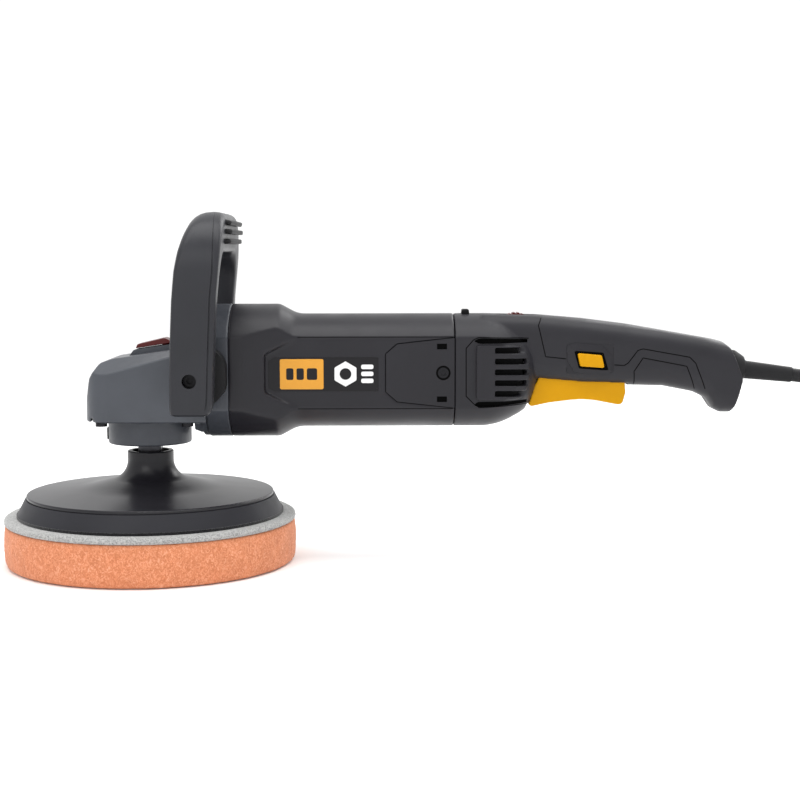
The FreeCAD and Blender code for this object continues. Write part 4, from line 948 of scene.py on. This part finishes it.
LABEL_OUTLINE = [(75.4, 110.0), (79.0, 107.6), (141.6, 107.6), (141.6, 128.2), (79.0, 128.2),
                 (75.4, 125.8)]
LABEL_RADIUS = 0.8
BADGE = (82.4, 108.6, 108.9, 127.1)
MARK_ENDS = ((86.2, 90.6), (92.4, 96.8), (98.6, 104.8))
MARK_HEIGHTS = (114.6, 121.6)
NUT_CENTRE = (121.8, 118.1)
BAR_ENDS = (131.2, 138.6)
BAR_HEIGHTS = ((112.6, 115.3), (116.8, 119.5), (121.0, 123.7))
BADGE_RADIUS = 1.2
LABEL_SINK = 0.1
LABEL_THICKNESS, BADGE_THICKNESS, MARK_THICKNESS, EMBLEM_THICKNESS = 0.3, 0.5, 0.56, 0.4


def soft_rectangle(left, right, low, high, radius):
    """An upright rectangle of (x, z) with round corners."""
    return rounded(rectangle(left, right, low, high), [radius] * 4)


def make_badges():
    """A dark label with a blank amber badge and a plain nut-and-bars pictogram."""
    for side, word in SIDES:
        place = (side, SIDE_FLAT)
        label = rounded(LABEL_OUTLINE, [LABEL_RADIUS] * len(LABEL_OUTLINE))
        trim(f"label_{word}", label, LABEL_THICKNESS, (side, SIDE_FLAT - LABEL_SINK),
             "inner_plastic", LABEL, bevel=0.05)
        trim(f"badge_face_{word}", soft_rectangle(*BADGE, BADGE_RADIUS), BADGE_THICKNESS, place,
             "trigger_yellow", AMBER, bevel=0.1)
        for index, ends in enumerate(MARK_ENDS):
            mark = soft_rectangle(*ends, *MARK_HEIGHTS, BADGE_RADIUS)
            trim(f"badge_mark_{word}_{index}", mark, MARK_THICKNESS, place, "inner_plastic",
                 LABEL, bevel=0.05)
        nut = ring_mesh(f"emblem_nut_{word}", NUT_CENTRE, outer=7.6, inner=3.5, depth=SIDE_FLAT,
                        thickness=EMBLEM_THICKNESS, side=side, count=6)
        nut.materials.append(WHITE)
        new_piece(f"emblem_nut_{word}", nut, "pin_metal", smooth=False)
        for index, heights in enumerate(BAR_HEIGHTS):
            bar = soft_rectangle(*BAR_ENDS, *heights, BADGE_RADIUS)
            trim(f"emblem_bar_{word}_{index}", bar, EMBLEM_THICKNESS, place, "pin_metal",
                 WHITE, bevel=0.1)


CATCH_FOOT = 150.6
CATCH_OUTLINE = rounded([(192.3, CATCH_FOOT), (197.6, CATCH_FOOT), (197.2, 155.9), (193.0, 155.9)],
                        [0.3, 0.3, 0.9, 0.9])
CATCH_SLICES = ((-5, 0.86), (-4.3, 1), (4.3, 1), (5, 0.86))
KEY_OUTLINE = soft_rectangle(-3.2, 3.2, 75.8, 83.4, radius=0.8)
KEY_MIDDLE = 79.6
KEY_SLICES = ((-24.4, 1), (-26.0, 1), (-26.3, 0.9))


def make_catch():
    """Small black catch on top of the housing joint."""
    sections = [[(p.x, y, CATCH_FOOT + (p.y - CATCH_FOOT) * rise) for p in CATCH_OUTLINE]
                for y, rise in CATCH_SLICES]
    new_piece("joint_catch", skin("joint_catch", sections), "inner_plastic")


def make_carrier_key():
    """Small dark key set in the front of the bearing carrier."""
    sections = [[(x, p.x * share, KEY_MIDDLE + (p.y - KEY_MIDDLE) * share) for p in KEY_OUTLINE]
                for x, share in KEY_SLICES]
    new_piece("carrier_key", skin("carrier_key", sections), "inner_plastic", smooth=False)


make_badges()
make_catch()
make_carrier_key()


# ---------------------------------------------------------------- stage, lights and camera

FLOOR_REACH = 40
SKY_STRENGTH = 1.08
CAMERA_PLACE = (0.1438, -0.9412, 0.1927)
CAMERA_TURN = (84.35, 0.07, -0.68)
CAMERA_LENS = 68.62


def make_stage():
    """A wide pale floor under an even white sky."""
    corners = rectangle(-FLOOR_REACH, FLOOR_REACH, -FLOOR_REACH, FLOOR_REACH)
    mesh = mesh_from("floor", [(x, y, 0) for x, y in corners], [(0, 1, 2, 3)])
    floor = in_scene("floor", mesh)
    pale = Shader("floor_look", 0.6, specular=0.2)
    pale.colour(pale.ramp(pale.noise(size=400, detail=2), [(0.3, 0.93), (0.7, 0.95)]))
    mesh.materials.append(pale.material)
    world = bpy.data.worlds.new("studio")
    world.use_nodes = True
    background = world.node_tree.nodes["Background"]
    background.inputs["Color"].default_value = (1, 1, 1, 1)
    background.inputs["Strength"].default_value = SKY_STRENGTH
    bpy.context.scene.world = world


def light(name, place, aim, size, power):
    """A soft rectangular lamp turned towards a point."""
    lamp = bpy.data.lights.new(name, "AREA")
    lamp.shape = "RECTANGLE"
    lamp.size, lamp.size_y = size
    lamp.energy = power
    item = in_scene(name, lamp)
    item.location = place
    item.rotation_euler = (Vector(aim) - Vector(place)).to_track_quat("-Z", "Y").to_euler()


def make_camera():
    """The photograph's view: from the side, a little above the pad."""
    camera = bpy.data.cameras.new("camera")
    camera.lens = CAMERA_LENS
    camera.sensor_width = 36
    item = in_scene("camera", camera)
    item.location = CAMERA_PLACE
    item.rotation_euler = [math.radians(angle) for angle in CAMERA_TURN]
    bpy.context.scene.camera = item


make_stage()
light("top_light", place=(0.15, -0.1, 1.3), aim=(0.15, 0, 0.1), size=(1.6, 0.8), power=13)
light("front_light", place=(-0.5, -1.4, 0.9), aim=(0.15, 0, 0.1), size=(0.9, 0.9), power=5)
light("back_light", place=(0.9, 0.9, 0.9), aim=(0.2, 0, 0.1), size=(0.8, 0.8), power=7)
make_camera()
bpy.context.scene.view_settings.view_transform = "Standard"
bpy.context.scene.view_settings.look = "None"
